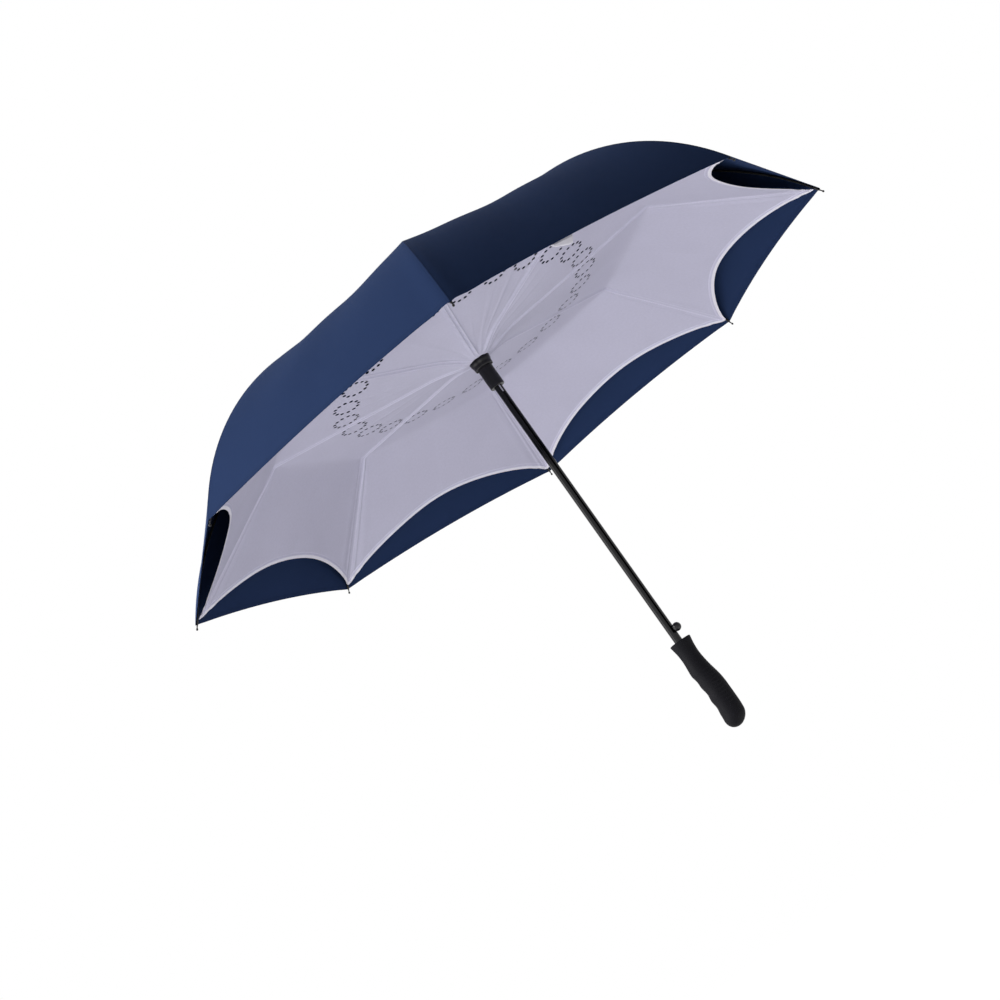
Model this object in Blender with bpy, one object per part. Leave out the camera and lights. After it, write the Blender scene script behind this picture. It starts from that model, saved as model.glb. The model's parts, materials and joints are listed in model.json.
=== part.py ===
"""Open inverted umbrella: two canopies on eight folding ribs, a shaft with a sliding runner, and a grip.

Metres, +Z up from the grip to the crown. The origin is on the shaft's axis, halfway up the grip.
Rib 0 lies along +X and the others follow every eighth of a turn.
"""
import math

import bmesh
import bpy
from mathutils import Matrix, Vector
from mathutils.geometry import tessellate_polygon

# Running gap that touching pieces keep, and how far a cutter or a buried end overruns
GAP = 0.0003
OVERRUN = 0.001

# Canopy: the outer fabric's top line over a rib is straight from the crown, then an arc to the tip
RIB_COUNT = 8
TIP_RADIUS = 0.530
TIP_HEIGHT = 0.470
ARC_RADIUS = 0.393
ARC_START = math.radians(15.5)
ARC_END = math.radians(58.5)
FABRIC = 0.0008
CROWN_HOLE_RADIUS = 0.008
OUTER_HEM_DIP = 0.010
HEM_DIP_POWER = 3
PANEL_SAG = 0.004
SEAM_GAP = 0.0002

# Inner canopy: clamped on the runner's disc, tied under the rib arms, drawn down to the tips
COLLAR_RADIUS = 0.0149
COLLAR_FLARE_RADIUS = 0.045
KINK_BEYOND_PIN = 0.013
CORNER_SHORT = 0.0085
CORNER_BELOW_ROD = 0.0024
ARM_TO_FABRIC = 0.0034
SCALLOP_DEPTH = 0.060
SCALLOP_POWER = 0.8

# Closure strap, sewn inside one outer panel so that its end hangs below the hem
STRAP_PANEL_RIB = 2
STRAP_PANEL_SHARE = 0.39
STRAP_WIDTH = 0.031
STRAP_LENGTH = 0.055
STRAP_HANG = 0.013
STRAP_THICKNESS = 0.0012
STRAP_INSET = 0.0016

# Shaft tube, with the slot for the opening spring's tongue
SHAFT_RADIUS = 0.006
SHAFT_WALL = 0.0008
SHAFT_ABOVE_GRIP_END = 0.0175
SHAFT_RISE = 0.0080
SLOT_WIDTH = 0.0026
SLOT_OVER_SLEEVE_END = 0.0004
SLOT_AZIMUTH = math.radians(110)

# Opening spring, its plug and the steel tongue under the runner
SPRING_RADIUS = 0.0036
SPRING_ABOVE_SHAFT_END = 0.005
PLUG_RADIUS = 0.0049
PLUG_HEIGHT = 0.0140
PLUG_OVER_TONGUE = 0.0015
TONGUE_WIDTH = 0.0020
TONGUE_REACH = 0.0070
TONGUE_HEIGHT = 0.0112

# Runner: a sleeve and a notched ring that carries the rib arms, and how far it slides down to fold.
# Its rise and drops are from the arms' pivots
RUNNER_TRAVEL = 0.4088
SLEEVE_RADIUS = 0.0110
SLEEVE_DROP = 0.0590
SLEEVE_CHAMFER = 0.0006
RING_RADIUS = 0.0146
RING_RISE = 0.0050
RING_DROP = 0.0132
PIVOT_CIRCLE_RADIUS = 0.0125

# Disc under the ring, which hides the inner canopy's collar
DISC_HEIGHT = 0.0120
DISC_RIM_RADIUS = 0.0156
DISC_FOOT_RADIUS = 0.0142
DISC_EDGE = 0.0012

# Crown: the fixed ring at the top that carries the struts, and its cap. Rises and drops are from the
# canopy's top, where its slope would meet the shaft's axis
CROWN_RADIUS = 0.0145
CROWN_DROP = 0.0220
CROWN_PIVOT_DROP = 0.0140
CAP_RIM_RADIUS = 0.0155
CAP_TOP_RADIUS = 0.0070
CAP_RIM_HEIGHT = 0.0030
CAP_RISE = 0.0135

# Rib linkage: arm on the runner, strut on the crown, rod pinned to both
ARM_SLOPE = math.radians(6.5)
ARM_PIN_BEYOND_BEND = 0.008
ARM_PIN_DROP = 0.0487
STRUT_PIN_BELOW_ROD = 0.0035
BAR_WIDTH = 0.0030
BAR_HALF_HEIGHT = 0.0022
BAR_SIDE = 0.0032
PIN_RADIUS = 0.0010
HUB_PIN_LENGTH = 0.0060
RIVET_RADIUS = 0.0020
RIVET_HEIGHT = 0.0006
ROD_RADIUS = 0.0015
BRACKET_THICKNESS = 0.0024
BRACKET_HALF_WIDTH = 0.0026
TOE_HALF_WIDTH = 0.0018
TOE_HALF_THICKNESS = 0.0010
TOE_SHORT = 0.0030
TIP_CAP_RADIUS = 0.0017
TIP_REACH = 0.0077
TIP_BALL_RADIUS = 0.0022

# Push button on the shaft's thumb side
BUTTON_ABOVE_GRIP = 0.0178
BUTTON_AZIMUTH = math.radians(150)
BUTTON_RADIUS = 0.0062
BUTTON_CENTRE = 0.0106
BUTTON_FLAT = 0.0079
BUTTON_STEM_RADIUS = 0.0016
BUTTON_STEM_END = 0.0058

# Grip: flared lip, finger waves on the +X side, rounded bulb at the bottom
GRIP_TOP = 0.0685
GRIP_LENGTH = 0.136
GRIP_RADIUS = 0.0161
GRIP_DEPTH_SHARE = 0.88
GRIP_LIP_FLARE = 0.0007
GRIP_LIP_LENGTH = 0.008
GRIP_WAIST = 0.0029
GRIP_WAIST_DROP = 0.024
GRIP_WAIST_LENGTH = 0.022
GRIP_BULB_LENGTH = 0.017
GRIP_OFFSET = 0.0014
GRIP_LEAN = 0.0039
GRIP_LEAN_DROP = 0.0925
GRIP_LEAN_LENGTH = 0.037
GRIP_LEAN_POWER = 4
GRIP_WAVE = 0.0016
GRIP_WAVE_PITCH = 0.0215
GRIP_WAVE_DROP = 0.0465
GRIP_WAVE_COUNT = 3

# Edges sharper than this are drawn as edges
SHARP_ANGLE = math.radians(35)

# Counts that set how finely curves are drawn
ROUND_STEPS = 24
SMALL_ROUND_STEPS = 8
BUTTON_STEPS = 12
BAR_END_STEPS = 5
ROD_SIDES = 6
BALL_RINGS = 4
CAP_STEPS = 4
GRIP_RINGS = 22
PANEL_STEPS = 3
ARC_STEPS = 8
INNER_STEPS = 5

# Worked-out places in a rib's radial plane, as (distance from the shaft, height)
RIB_ANGLE = math.tau / RIB_COUNT
HALF_PANEL = RIB_ANGLE / 2
ARC_CENTRE = Vector((
    TIP_RADIUS - ARC_RADIUS * math.sin(ARC_END),
    TIP_HEIGHT - ARC_RADIUS * math.cos(ARC_END),
))
GRIP_BOTTOM = GRIP_TOP - GRIP_LENGTH
SHAFT_BOTTOM = GRIP_BOTTOM + SHAFT_ABOVE_GRIP_END
SPRING_BOTTOM = SHAFT_BOTTOM + SPRING_ABOVE_SHAFT_END
BUTTON_HEIGHT = GRIP_TOP + BUTTON_ABOVE_GRIP
BORE_RADIUS = SHAFT_RADIUS + GAP
TUBE_BORE_RADIUS = SHAFT_RADIUS - SHAFT_WALL
EYE_RADIUS = PIN_RADIUS + GAP
ROD_LINE_RADIUS = ARC_RADIUS - FABRIC - GAP - ROD_RADIUS


def on_arc(angle, radius):
    """Point on an arc round the canopy's arc centre, with the angle taken from the vertical."""
    return ARC_CENTRE + radius * Vector((math.sin(angle), math.cos(angle)))


ARC_TOP = on_arc(ARC_START, ARC_RADIUS)
CANOPY_TOP = ARC_TOP.y + ARC_TOP.x * math.tan(ARC_START)
SHAFT_TOP = CANOPY_TOP + SHAFT_RISE
CAP_TOP = CANOPY_TOP + CAP_RISE
CROWN_BOTTOM = CANOPY_TOP - CROWN_DROP
CROWN_PIVOT_HEIGHT = CANOPY_TOP - CROWN_PIVOT_DROP
STRUT_PIN = on_arc(ARC_START, ROD_LINE_RADIUS - STRUT_PIN_BELOW_ROD)
ARM_PIN = ARC_TOP + Vector((ARM_PIN_BEYOND_BEND, -ARM_PIN_DROP))
KINK_RADIUS = ARM_PIN.x + KINK_BEYOND_PIN
RUNNER_PIVOT_HEIGHT = ARM_PIN.y - (ARM_PIN.x - PIVOT_CIRCLE_RADIUS) * math.tan(ARM_SLOPE)
RUNNER_PIVOT = Vector((PIVOT_CIRCLE_RADIUS, RUNNER_PIVOT_HEIGHT))
RING_TOP = RUNNER_PIVOT_HEIGHT + RING_RISE
RING_BOTTOM = RUNNER_PIVOT_HEIGHT - RING_DROP
DISC_TOP = RING_BOTTOM - GAP
DISC_BOTTOM = DISC_TOP - DISC_HEIGHT
SLEEVE_BOTTOM = RUNNER_PIVOT_HEIGHT - SLEEVE_DROP
SLOT_TOP = SLEEVE_BOTTOM + SLOT_OVER_SLEEVE_END
TONGUE_TOP = SLEEVE_BOTTOM - GAP
TONGUE_BOTTOM = TONGUE_TOP - TONGUE_HEIGHT
SLOT_BOTTOM = TONGUE_BOTTOM - RUNNER_TRAVEL - GAP
PLUG_TOP = TONGUE_BOTTOM + PLUG_OVER_TONGUE
PLUG_BOTTOM = PLUG_TOP - PLUG_HEIGHT
CROWN_PIVOT = Vector((PIVOT_CIRCLE_RADIUS, CROWN_PIVOT_HEIGHT))
CORNER_RADIUS = TIP_RADIUS - CORNER_SHORT

# Colours as linear red, green, blue, then roughness and metallic
LOOKS = {
    "navy_fabric": ((0.012, 0.028, 0.095), 0.75, 0.0),
    "white_fabric": ((0.60, 0.60, 0.68), 0.75, 0.0),
    "gloss_black": ((0.010, 0.010, 0.012), 0.20, 0.3),
    "black_plastic": ((0.012, 0.012, 0.014), 0.45, 0.0),
    "black_rubber": ((0.010, 0.010, 0.012), 0.70, 0.0),
    "steel": ((0.55, 0.55, 0.56), 0.30, 1.0),
    "glass_fibre": ((0.02, 0.02, 0.022), 0.40, 0.0),
}


def clear_scene():
    for obj in list(bpy.data.objects):
        bpy.data.objects.remove(obj, do_unlink=True)


def material(name):
    if name in bpy.data.materials:
        return bpy.data.materials[name]
    colour, roughness, metallic = LOOKS[name]
    made = bpy.data.materials.new(name)
    made.use_nodes = True
    shader = made.node_tree.nodes["Principled BSDF"]
    shader.inputs["Base Color"].default_value = (*colour, 1.0)
    shader.inputs["Roughness"].default_value = roughness
    shader.inputs["Metallic"].default_value = metallic
    return made


def place(name, mesh, look, location=(0, 0, 0), turn=0.0):
    """Put a mesh in the scene as a named piece, turned about the vertical."""
    obj = bpy.data.objects.new(name, mesh)
    bpy.context.collection.objects.link(obj)
    obj.location = location
    obj.rotation_euler = (0, 0, turn)
    if look and not mesh.materials:
        mesh.materials.append(material(look))
    return obj


def mesh_from(bm, name):
    """Turn a closed bmesh into a mesh with its faces pointing out."""
    bmesh.ops.recalc_face_normals(bm, faces=bm.faces)
    mesh = bpy.data.meshes.new(name)
    bm.to_mesh(mesh)
    bm.free()
    mesh.shade_smooth()
    mesh.set_sharp_from_angle(angle=SHARP_ANGLE)
    return mesh


def loft(name, rings, closed=False):
    """Skin a row of rings with equal counts. The ends are capped, or the last ring meets the first."""
    bm = bmesh.new()
    loops = [[bm.verts.new(point) for point in ring] for ring in rings]
    pairs = list(zip(loops, loops[1:]))
    if closed:
        pairs.append((loops[-1], loops[0]))
    for low, high in pairs:
        for index in range(len(low)):
            after = (index + 1) % len(low)
            bm.faces.new((low[index], low[after], high[after], high[index]))
    if not closed:
        bm.faces.new(loops[0])
        bm.faces.new(loops[-1])
    return mesh_from(bm, name)


def circle(radius, height, steps=ROUND_STEPS):
    """Ring of points round the vertical axis."""
    angles = (math.tau * step / steps for step in range(steps))
    return [Vector((radius * math.cos(a), radius * math.sin(a), height)) for a in angles]


def turned(name, profile, closed=False, steps=ROUND_STEPS):
    """Solid of revolution from (radius, height) points."""
    return loft(name, [circle(radius, height, steps) for radius, height in profile], closed)


def tube_along(name, stations, steps=ROD_SIDES):
    """Round bar through (x, z, direction angle, radius) stations in the radial plane."""
    rings = []
    for x, z, direction, radius in stations:
        normal = Vector((-math.sin(direction), 0, math.cos(direction)))
        side = Vector((0, 1, 0))
        ring = []
        for step in range(steps):
            angle = math.tau * step / steps
            offset = normal * math.cos(angle) + side * math.sin(angle)
            ring.append(Vector((x, 0, z)) + radius * offset)
        rings.append(ring)
    return loft(name, rings)


def capsule(start, end, half_width, steps=BAR_END_STEPS):
    """Outline of a bar with round ends, in the radial plane."""
    along = (end - start).normalized()
    heading = math.atan2(along.y, along.x)
    points = []
    for centre, first in ((end, heading - math.pi / 2), (start, heading + math.pi / 2)):
        for step in range(steps + 1):
            angle = first + math.pi * step / steps
            points.append(centre + half_width * Vector((math.cos(angle), math.sin(angle))))
    return points


def eye(centre, radius, steps=SMALL_ROUND_STEPS):
    """Outline of a round hole, in the radial plane."""
    angles = (math.tau * step / steps for step in range(steps))
    return [centre + radius * Vector((math.cos(a), math.sin(a))) for a in angles]


def plate(name, loops, low, high):
    """Flat bar between two tangential offsets, from an outline and its holes."""
    bm = bmesh.new()
    flat = [Vector((p.x, p.y, 0)) for loop in loops for p in loop]
    triangles = tessellate_polygon([[Vector((p.x, p.y, 0)) for p in loop] for loop in loops])
    near = [bm.verts.new((p.x, low, p.y)) for p in flat]
    far = [bm.verts.new((p.x, high, p.y)) for p in flat]
    for triangle in triangles:
        bm.faces.new([near[index] for index in triangle])
        bm.faces.new([far[index] for index in reversed(triangle)])
    first = 0
    for loop in loops:
        for index in range(len(loop)):
            here = first + index
            after = first + (index + 1) % len(loop)
            bm.faces.new((near[here], near[after], far[after], far[here]))
        first += len(loop)
    return mesh_from(bm, name)


def pin_across(name, centre, radius, low, high, steps=SMALL_ROUND_STEPS):
    """Round pin along the tangent through a point of the radial plane."""
    return plate(name, [eye(centre, radius, steps)], low, high)


def box(name, low, high):
    """Box between two corners."""
    bm = bmesh.new()
    bmesh.ops.create_cube(bm, size=1.0)
    size = Vector(high) - Vector(low)
    middle = (Vector(high) + Vector(low)) / 2
    bmesh.ops.transform(bm, matrix=Matrix.Translation(middle) @ Matrix.Diagonal((*size, 1)), verts=bm.verts)
    return mesh_from(bm, name)


def around(mesh, name):
    """The same mesh at every rib, as one mesh."""
    bm = bmesh.new()
    for rib in range(RIB_COUNT):
        part = mesh.copy()
        part.transform(Matrix.Rotation(rib * RIB_ANGLE, 4, "Z"))
        bm.from_mesh(part)
        bpy.data.meshes.remove(part)
    made = bpy.data.meshes.new(name)
    bm.to_mesh(made)
    bm.free()
    return made


def boolean(obj, mesh, operation):
    """Cut a mesh from a piece, or join it on, with a hidden helper object."""
    helper = bpy.data.objects.new(obj.name + "_" + operation.lower(), mesh)
    bpy.context.collection.objects.link(helper)
    helper.matrix_world = obj.matrix_basis
    helper.hide_render = True
    helper.display_type = "WIRE"
    modifier = obj.modifiers.new(operation.title(), "BOOLEAN")
    modifier.operation = operation
    modifier.solver = "EXACT"
    modifier.object = helper


def joined(name, meshes):
    """One solid from overlapping ones, worked out once so that every rib can share it."""
    first = place(name + "_first", meshes[0], None)
    for mesh in meshes[1:]:
        boolean(first, mesh, "UNION")
    bpy.context.view_layer.update()
    depsgraph = bpy.context.evaluated_depsgraph_get()
    result = bpy.data.meshes.new_from_object(first.evaluated_get(depsgraph))
    result.name = name
    result.shade_smooth()
    result.set_sharp_from_angle(angle=SHARP_ANGLE)
    helpers = [modifier.object for modifier in first.modifiers]
    for helper in [*helpers, first]:
        bpy.data.objects.remove(helper, do_unlink=True)
    return result


def radial(distance, angle, height):
    return Vector((distance * math.cos(angle), distance * math.sin(angle), height))


def hump(place_along, centre, length, power=2):
    """Smooth rise that is one at its centre and dies away beyond its length."""
    return math.exp(-abs((place_along - centre) / length) ** power)


def grip_ring(height):
    """One level of the grip, with its finger side along +X."""
    radius = GRIP_RADIUS - GRIP_WAIST * hump(height, GRIP_TOP - GRIP_WAIST_DROP, GRIP_WAIST_LENGTH)
    radius += GRIP_LIP_FLARE * hump(height, GRIP_TOP, GRIP_LIP_LENGTH)
    above_end = (height - GRIP_BOTTOM) / GRIP_BULB_LENGTH
    if above_end < 1:
        radius *= math.sqrt(max(1 - (1 - above_end) ** 2, GAP / GRIP_RADIUS))
    lean_height = GRIP_TOP - GRIP_LEAN_DROP
    lean = GRIP_OFFSET + GRIP_LEAN * hump(height, lean_height, GRIP_LEAN_LENGTH, GRIP_LEAN_POWER)
    place_in_waves = (GRIP_TOP - GRIP_WAVE_DROP - height) / GRIP_WAVE_PITCH
    in_waves = 0 < place_in_waves < GRIP_WAVE_COUNT
    wave = GRIP_WAVE * math.sin(math.pi * place_in_waves) ** 2 if in_waves else 0
    ring = []
    for point in circle(1, height):
        reach = radius - wave * max(point.x, 0) ** 2
        ring.append(Vector((reach * point.x - lean, GRIP_DEPTH_SHARE * reach * point.y, height)))
    return ring


def make_grip():
    """Rubber grip round the shaft's lower end, skinned in rings down its length."""
    rings = [circle(BORE_RADIUS, SHAFT_BOTTOM - GAP), circle(BORE_RADIUS, GRIP_TOP)]
    for index in range(GRIP_RINGS + 1):
        rings.append(grip_ring(GRIP_TOP - GRIP_LENGTH * index / GRIP_RINGS))
    place("grip", loft("grip", rings), "black_rubber")


def make_shaft():
    """Slotted steel tube from inside the grip to inside the cap."""
    outline = [
        (TUBE_BORE_RADIUS, SHAFT_BOTTOM), (SHAFT_RADIUS, SHAFT_BOTTOM),
        (SHAFT_RADIUS, SHAFT_TOP), (TUBE_BORE_RADIUS, SHAFT_TOP),
    ]
    shaft = place("shaft", turned("shaft", outline, closed=True), "gloss_black")
    slot = box(
        "slot",
        (0, -SLOT_WIDTH / 2, SLOT_BOTTOM), (SHAFT_RADIUS + OVERRUN, SLOT_WIDTH / 2, SLOT_TOP),
    )
    slot.transform(Matrix.Rotation(SLOT_AZIMUTH, 4, "Z"))
    boolean(shaft, slot, "DIFFERENCE")
    hole = turned("hole", [
        (BUTTON_STEM_RADIUS + GAP, 0), (BUTTON_STEM_RADIUS + GAP, SHAFT_RADIUS + OVERRUN),
    ], steps=SMALL_ROUND_STEPS)
    hole.transform(button_matrix())
    boolean(shaft, hole, "DIFFERENCE")


def button_matrix():
    """Turns +Z into the button's outward direction, at the button's height."""
    out = Matrix.Rotation(BUTTON_AZIMUTH, 4, "Z") @ Matrix.Rotation(math.pi / 2, 4, "Y")
    return Matrix.Translation((0, 0, BUTTON_HEIGHT)) @ out


def make_button():
    """Ball knob with a flat back on a short stem that reaches into the tube."""
    flat_angle = math.acos((BUTTON_CENTRE - BUTTON_FLAT) / BUTTON_RADIUS)
    profile = [(BUTTON_STEM_RADIUS, BUTTON_STEM_END), (BUTTON_STEM_RADIUS, BUTTON_FLAT)]
    steps = SMALL_ROUND_STEPS
    for step in range(steps):
        angle = flat_angle + (math.pi - flat_angle) * step / steps
        profile.append((
            BUTTON_RADIUS * math.sin(angle),
            BUTTON_CENTRE - BUTTON_RADIUS * math.cos(angle),
        ))
    button = place("button", turned("button", profile, steps=BUTTON_STEPS), "black_plastic")
    button.matrix_world = button_matrix()


def make_spring():
    """Opening spring, as the plain bar that it fills inside the tube."""
    profile = [(SPRING_RADIUS, SPRING_BOTTOM), (SPRING_RADIUS, PLUG_BOTTOM - GAP)]
    place("opening_spring", turned("opening_spring", profile, steps=SMALL_ROUND_STEPS), "steel")


def make_tongue():
    """Plug on top of the spring, with the tongue that lifts the runner through the slot."""
    plug = turned("plug", [(PLUG_RADIUS, PLUG_BOTTOM), (PLUG_RADIUS, PLUG_TOP)])
    half = TONGUE_WIDTH / 2
    tongue = box("tongue", (0, -half, TONGUE_BOTTOM), (TONGUE_REACH, half, TONGUE_TOP))
    tongue.transform(Matrix.Rotation(SLOT_AZIMUTH, 4, "Z"))
    place("spring_tongue", joined("spring_tongue", [plug, tongue]), "steel")


def hub(name, profile, look, side, pivot, slot_low, slot_high):
    """Notched ring: one slot with a cross pin for each bar that pivots on it."""
    piece = place(name, turned(name, profile, closed=True), look)
    half_slot = BAR_WIDTH / 2 + GAP
    slot_root = PIVOT_CIRCLE_RADIUS - BAR_HALF_HEIGHT - GAP
    outer = max(radius for radius, _ in profile) + OVERRUN
    slot = box("slot", (slot_root, side - half_slot, slot_low), (outer, side + half_slot, slot_high))
    boolean(piece, around(slot, name + "_slots"), "DIFFERENCE")
    half_pin = HUB_PIN_LENGTH / 2
    pin = pin_across("pin", pivot, PIN_RADIUS, side - half_pin, side + half_pin)
    boolean(piece, around(pin, name + "_pins"), "UNION")


def make_runner():
    profile = [
        (BORE_RADIUS, SLEEVE_BOTTOM), (SLEEVE_RADIUS - SLEEVE_CHAMFER, SLEEVE_BOTTOM),
        (SLEEVE_RADIUS, SLEEVE_BOTTOM + SLEEVE_CHAMFER), (SLEEVE_RADIUS, RING_BOTTOM),
        (RING_RADIUS, RING_BOTTOM), (RING_RADIUS, RING_TOP), (BORE_RADIUS, RING_TOP),
    ]
    slot_floor = RUNNER_PIVOT_HEIGHT - BAR_HALF_HEIGHT - GAP
    hub("runner", profile, "black_plastic", -BAR_SIDE, RUNNER_PIVOT, slot_floor, RING_TOP + OVERRUN)


def make_disc():
    bore = SLEEVE_RADIUS + GAP
    profile = [
        (bore, DISC_BOTTOM), (DISC_FOOT_RADIUS - DISC_EDGE, DISC_BOTTOM),
        (DISC_FOOT_RADIUS, DISC_BOTTOM + DISC_EDGE), (DISC_RIM_RADIUS, DISC_TOP - DISC_EDGE),
        (DISC_RIM_RADIUS - DISC_EDGE / 2, DISC_TOP), (bore, DISC_TOP),
    ]
    place("runner_disc", turned("runner_disc", profile, closed=True), "black_plastic")


def crown_fabric_under(radius):
    """Underside of the outer canopy above a point on a rib, inside the arc."""
    return CANOPY_TOP - radius * math.tan(ARC_START) - FABRIC / math.cos(ARC_START)


def make_crown():
    top = crown_fabric_under(CROWN_RADIUS) - GAP
    profile = [
        (BORE_RADIUS, CROWN_BOTTOM), (CROWN_RADIUS, CROWN_BOTTOM),
        (CROWN_RADIUS, top), (BORE_RADIUS, top),
    ]
    slot_roof = CROWN_PIVOT_HEIGHT + BAR_HALF_HEIGHT + GAP
    hub("crown", profile, "black_plastic", BAR_SIDE, CROWN_PIVOT, CROWN_BOTTOM - OVERRUN, slot_roof)


def make_cap():
    """Cap over the crown and the tube's end, flat on top."""
    bottom = crown_fabric_under(CROWN_HOLE_RADIUS) + FABRIC / math.cos(ARC_START) + GAP
    rim_top = bottom + CAP_RIM_HEIGHT
    profile = [
        (BORE_RADIUS, SHAFT_TOP + GAP), (BORE_RADIUS, bottom), (CAP_RIM_RADIUS, bottom),
        (CAP_RIM_RADIUS, rim_top),
    ]
    rise = CAP_TOP - rim_top
    run = CAP_RIM_RADIUS - CAP_TOP_RADIUS
    for step in range(1, CAP_STEPS + 1):
        angle = math.pi / 2 * step / CAP_STEPS
        profile.append((CAP_TOP_RADIUS + run * math.cos(angle), rim_top + rise * math.sin(angle)))
    place("crown_cap", turned("crown_cap", profile), "black_plastic")


def bar(name, start, pin, side):
    """Flat steel bar from its hub eye to its pin eye, with the hub eye as its origin."""
    loops = [
        capsule(Vector((0, 0)), pin - start, BAR_HALF_HEIGHT),
        eye(Vector((0, 0)), EYE_RADIUS),
        eye(pin - start, EYE_RADIUS),
    ]
    return plate(name, loops, side - BAR_WIDTH / 2, side + BAR_WIDTH / 2)


def make_bars():
    """Rib arms on the runner and struts on the crown."""
    arm = bar("rib_arm", RUNNER_PIVOT, ARM_PIN, -BAR_SIDE)
    strut = bar("strut", CROWN_PIVOT, STRUT_PIN, BAR_SIDE)
    for rib in range(RIB_COUNT):
        turn = rib * RIB_ANGLE
        place(f"rib_arm_{rib}", arm, "steel", radial(RUNNER_PIVOT.x, turn, RUNNER_PIVOT.y), turn)
        place(f"strut_{rib}", strut, "steel", radial(CROWN_PIVOT.x, turn, CROWN_PIVOT.y), turn)


def rod_stations():
    """Rod along the arc, with a short straight run above its bracket and the arm pin as the origin."""
    start = on_arc(ARC_START, ROD_LINE_RADIUS) - ARM_PIN
    back = Vector((-math.cos(ARC_START), math.sin(ARC_START)))
    heel = start + BRACKET_HALF_WIDTH * back
    stations = [(heel.x, heel.y, -ARC_START, ROD_RADIUS)]
    for step in range(ARC_STEPS + 1):
        angle = ARC_START + (ARC_END - ARC_START) * step / ARC_STEPS
        place_on_rod = on_arc(angle, ROD_LINE_RADIUS) - ARM_PIN
        stations.append((place_on_rod.x, place_on_rod.y, -angle, ROD_RADIUS))
    return stations


def make_rods():
    """Outer rods, each with its tip, rivet, bracket, and the toe that holds the inner canopy out."""
    stations = rod_stations()
    end_x, end_z, heading, _ = stations[-1]
    along = Vector((math.cos(heading), math.sin(heading)))
    tip = Vector((end_x, end_z)) + TIP_REACH * along
    tip_start = Vector((end_x, end_z)) - TIP_BALL_RADIUS * along
    tip_cap = tube_along("tip_cap", [
        (tip_start.x, tip_start.y, heading, TIP_CAP_RADIUS), (tip.x, tip.y, heading, TIP_CAP_RADIUS),
    ])
    ball = bpy.data.meshes.new("ball")
    bm = bmesh.new()
    bmesh.ops.create_uvsphere(bm, u_segments=ROD_SIDES, v_segments=BALL_RINGS, radius=TIP_BALL_RADIUS)
    bm.to_mesh(ball)
    bm.free()
    ball.transform(Matrix.Translation((tip.x, 0, tip.y)))
    half = BRACKET_THICKNESS / 2
    pivot = Vector((0, 0))
    bracket = plate("bracket", [capsule(pivot, STRUT_PIN - ARM_PIN, BRACKET_HALF_WIDTH)], -half, half)
    toe_end = (KINK_RADIUS - TOE_SHORT - ARM_PIN.x) * Vector((1, math.tan(ARM_SLOPE)))
    toe_outline = capsule(pivot, toe_end, TOE_HALF_WIDTH)
    toe = plate("toe", [toe_outline], -TOE_HALF_THICKNESS, TOE_HALF_THICKNESS)
    pin_end = -BAR_SIDE - BAR_WIDTH / 2 - GAP
    pin = pin_across("pin", pivot, PIN_RADIUS, pin_end - RIVET_HEIGHT / 2, 0)
    rivet = pin_across("rivet", pivot, RIVET_RADIUS, pin_end - RIVET_HEIGHT, pin_end)
    boss_face = BAR_SIDE - BAR_WIDTH / 2 - GAP
    boss = pin_across("boss", STRUT_PIN - ARM_PIN, RIVET_RADIUS, 0, boss_face)
    rod = tube_along("rod", stations)
    mesh = joined("rib_rod", [rod, tip_cap, ball, bracket, toe, pin, rivet, boss])
    for rib in range(RIB_COUNT):
        turn = rib * RIB_ANGLE
        place(f"rib_rod_{rib}", mesh, "glass_fibre", radial(ARM_PIN.x, turn, ARM_PIN.y), turn)


def across_panel(point, share, rib=0):
    """Point between a rib and the next: the taut fabric runs straight from rib to rib."""
    here = radial(point.x, rib * RIB_ANGLE, point.y)
    there = radial(point.x, (rib + 1) * RIB_ANGLE, point.y)
    return here.lerp(there, share)


def ease(share):
    """Smooth step from zero to one."""
    return share * share * (3 - 2 * share)


def bow(share):
    """Zero on the ribs and one halfway across a panel."""
    return 4 * share * (1 - share)


def outer_point(along, share, depth):
    """Outer canopy beyond the arc's start: along runs 0 to 1 down to the hem, which dips between ribs."""
    angle = ARC_START + (ARC_END - ARC_START) * along
    dip = OUTER_HEM_DIP * bow(share) * along ** HEM_DIP_POWER
    sag = PANEL_SAG * bow(share) * math.sin(math.pi * along) + depth
    arc_point = on_arc(angle - dip / ARC_RADIUS, ARC_RADIUS - sag)
    return across_panel(arc_point, share)


def rod_underside():
    """Where the inner canopy's corner is drawn up under a rod."""
    angle = math.asin((CORNER_RADIUS - ARC_CENTRE.x) / ROD_LINE_RADIUS)
    return on_arc(angle, ROD_LINE_RADIUS - ROD_RADIUS - CORNER_BELOW_ROD)


def arm_underside(radius):
    """Top of the inner canopy under a rib arm."""
    line = RUNNER_PIVOT_HEIGHT + (radius - PIVOT_CIRCLE_RADIUS) * math.tan(ARM_SLOPE)
    return line - ARM_TO_FABRIC + FABRIC / 2


def inner_point(along, share, depth):
    """Inner canopy beyond the kink: straight from the arm's end to the tip, with a scalloped hem."""
    kink = Vector((KINK_RADIUS, arm_underside(KINK_RADIUS) - depth))
    corner = rod_underside() - Vector((0, depth))
    scallop = SCALLOP_DEPTH * bow(share) ** SCALLOP_POWER / (corner.x - kink.x)
    return across_panel(kink.lerp(corner, along * (1 - scallop)), share)


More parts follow.
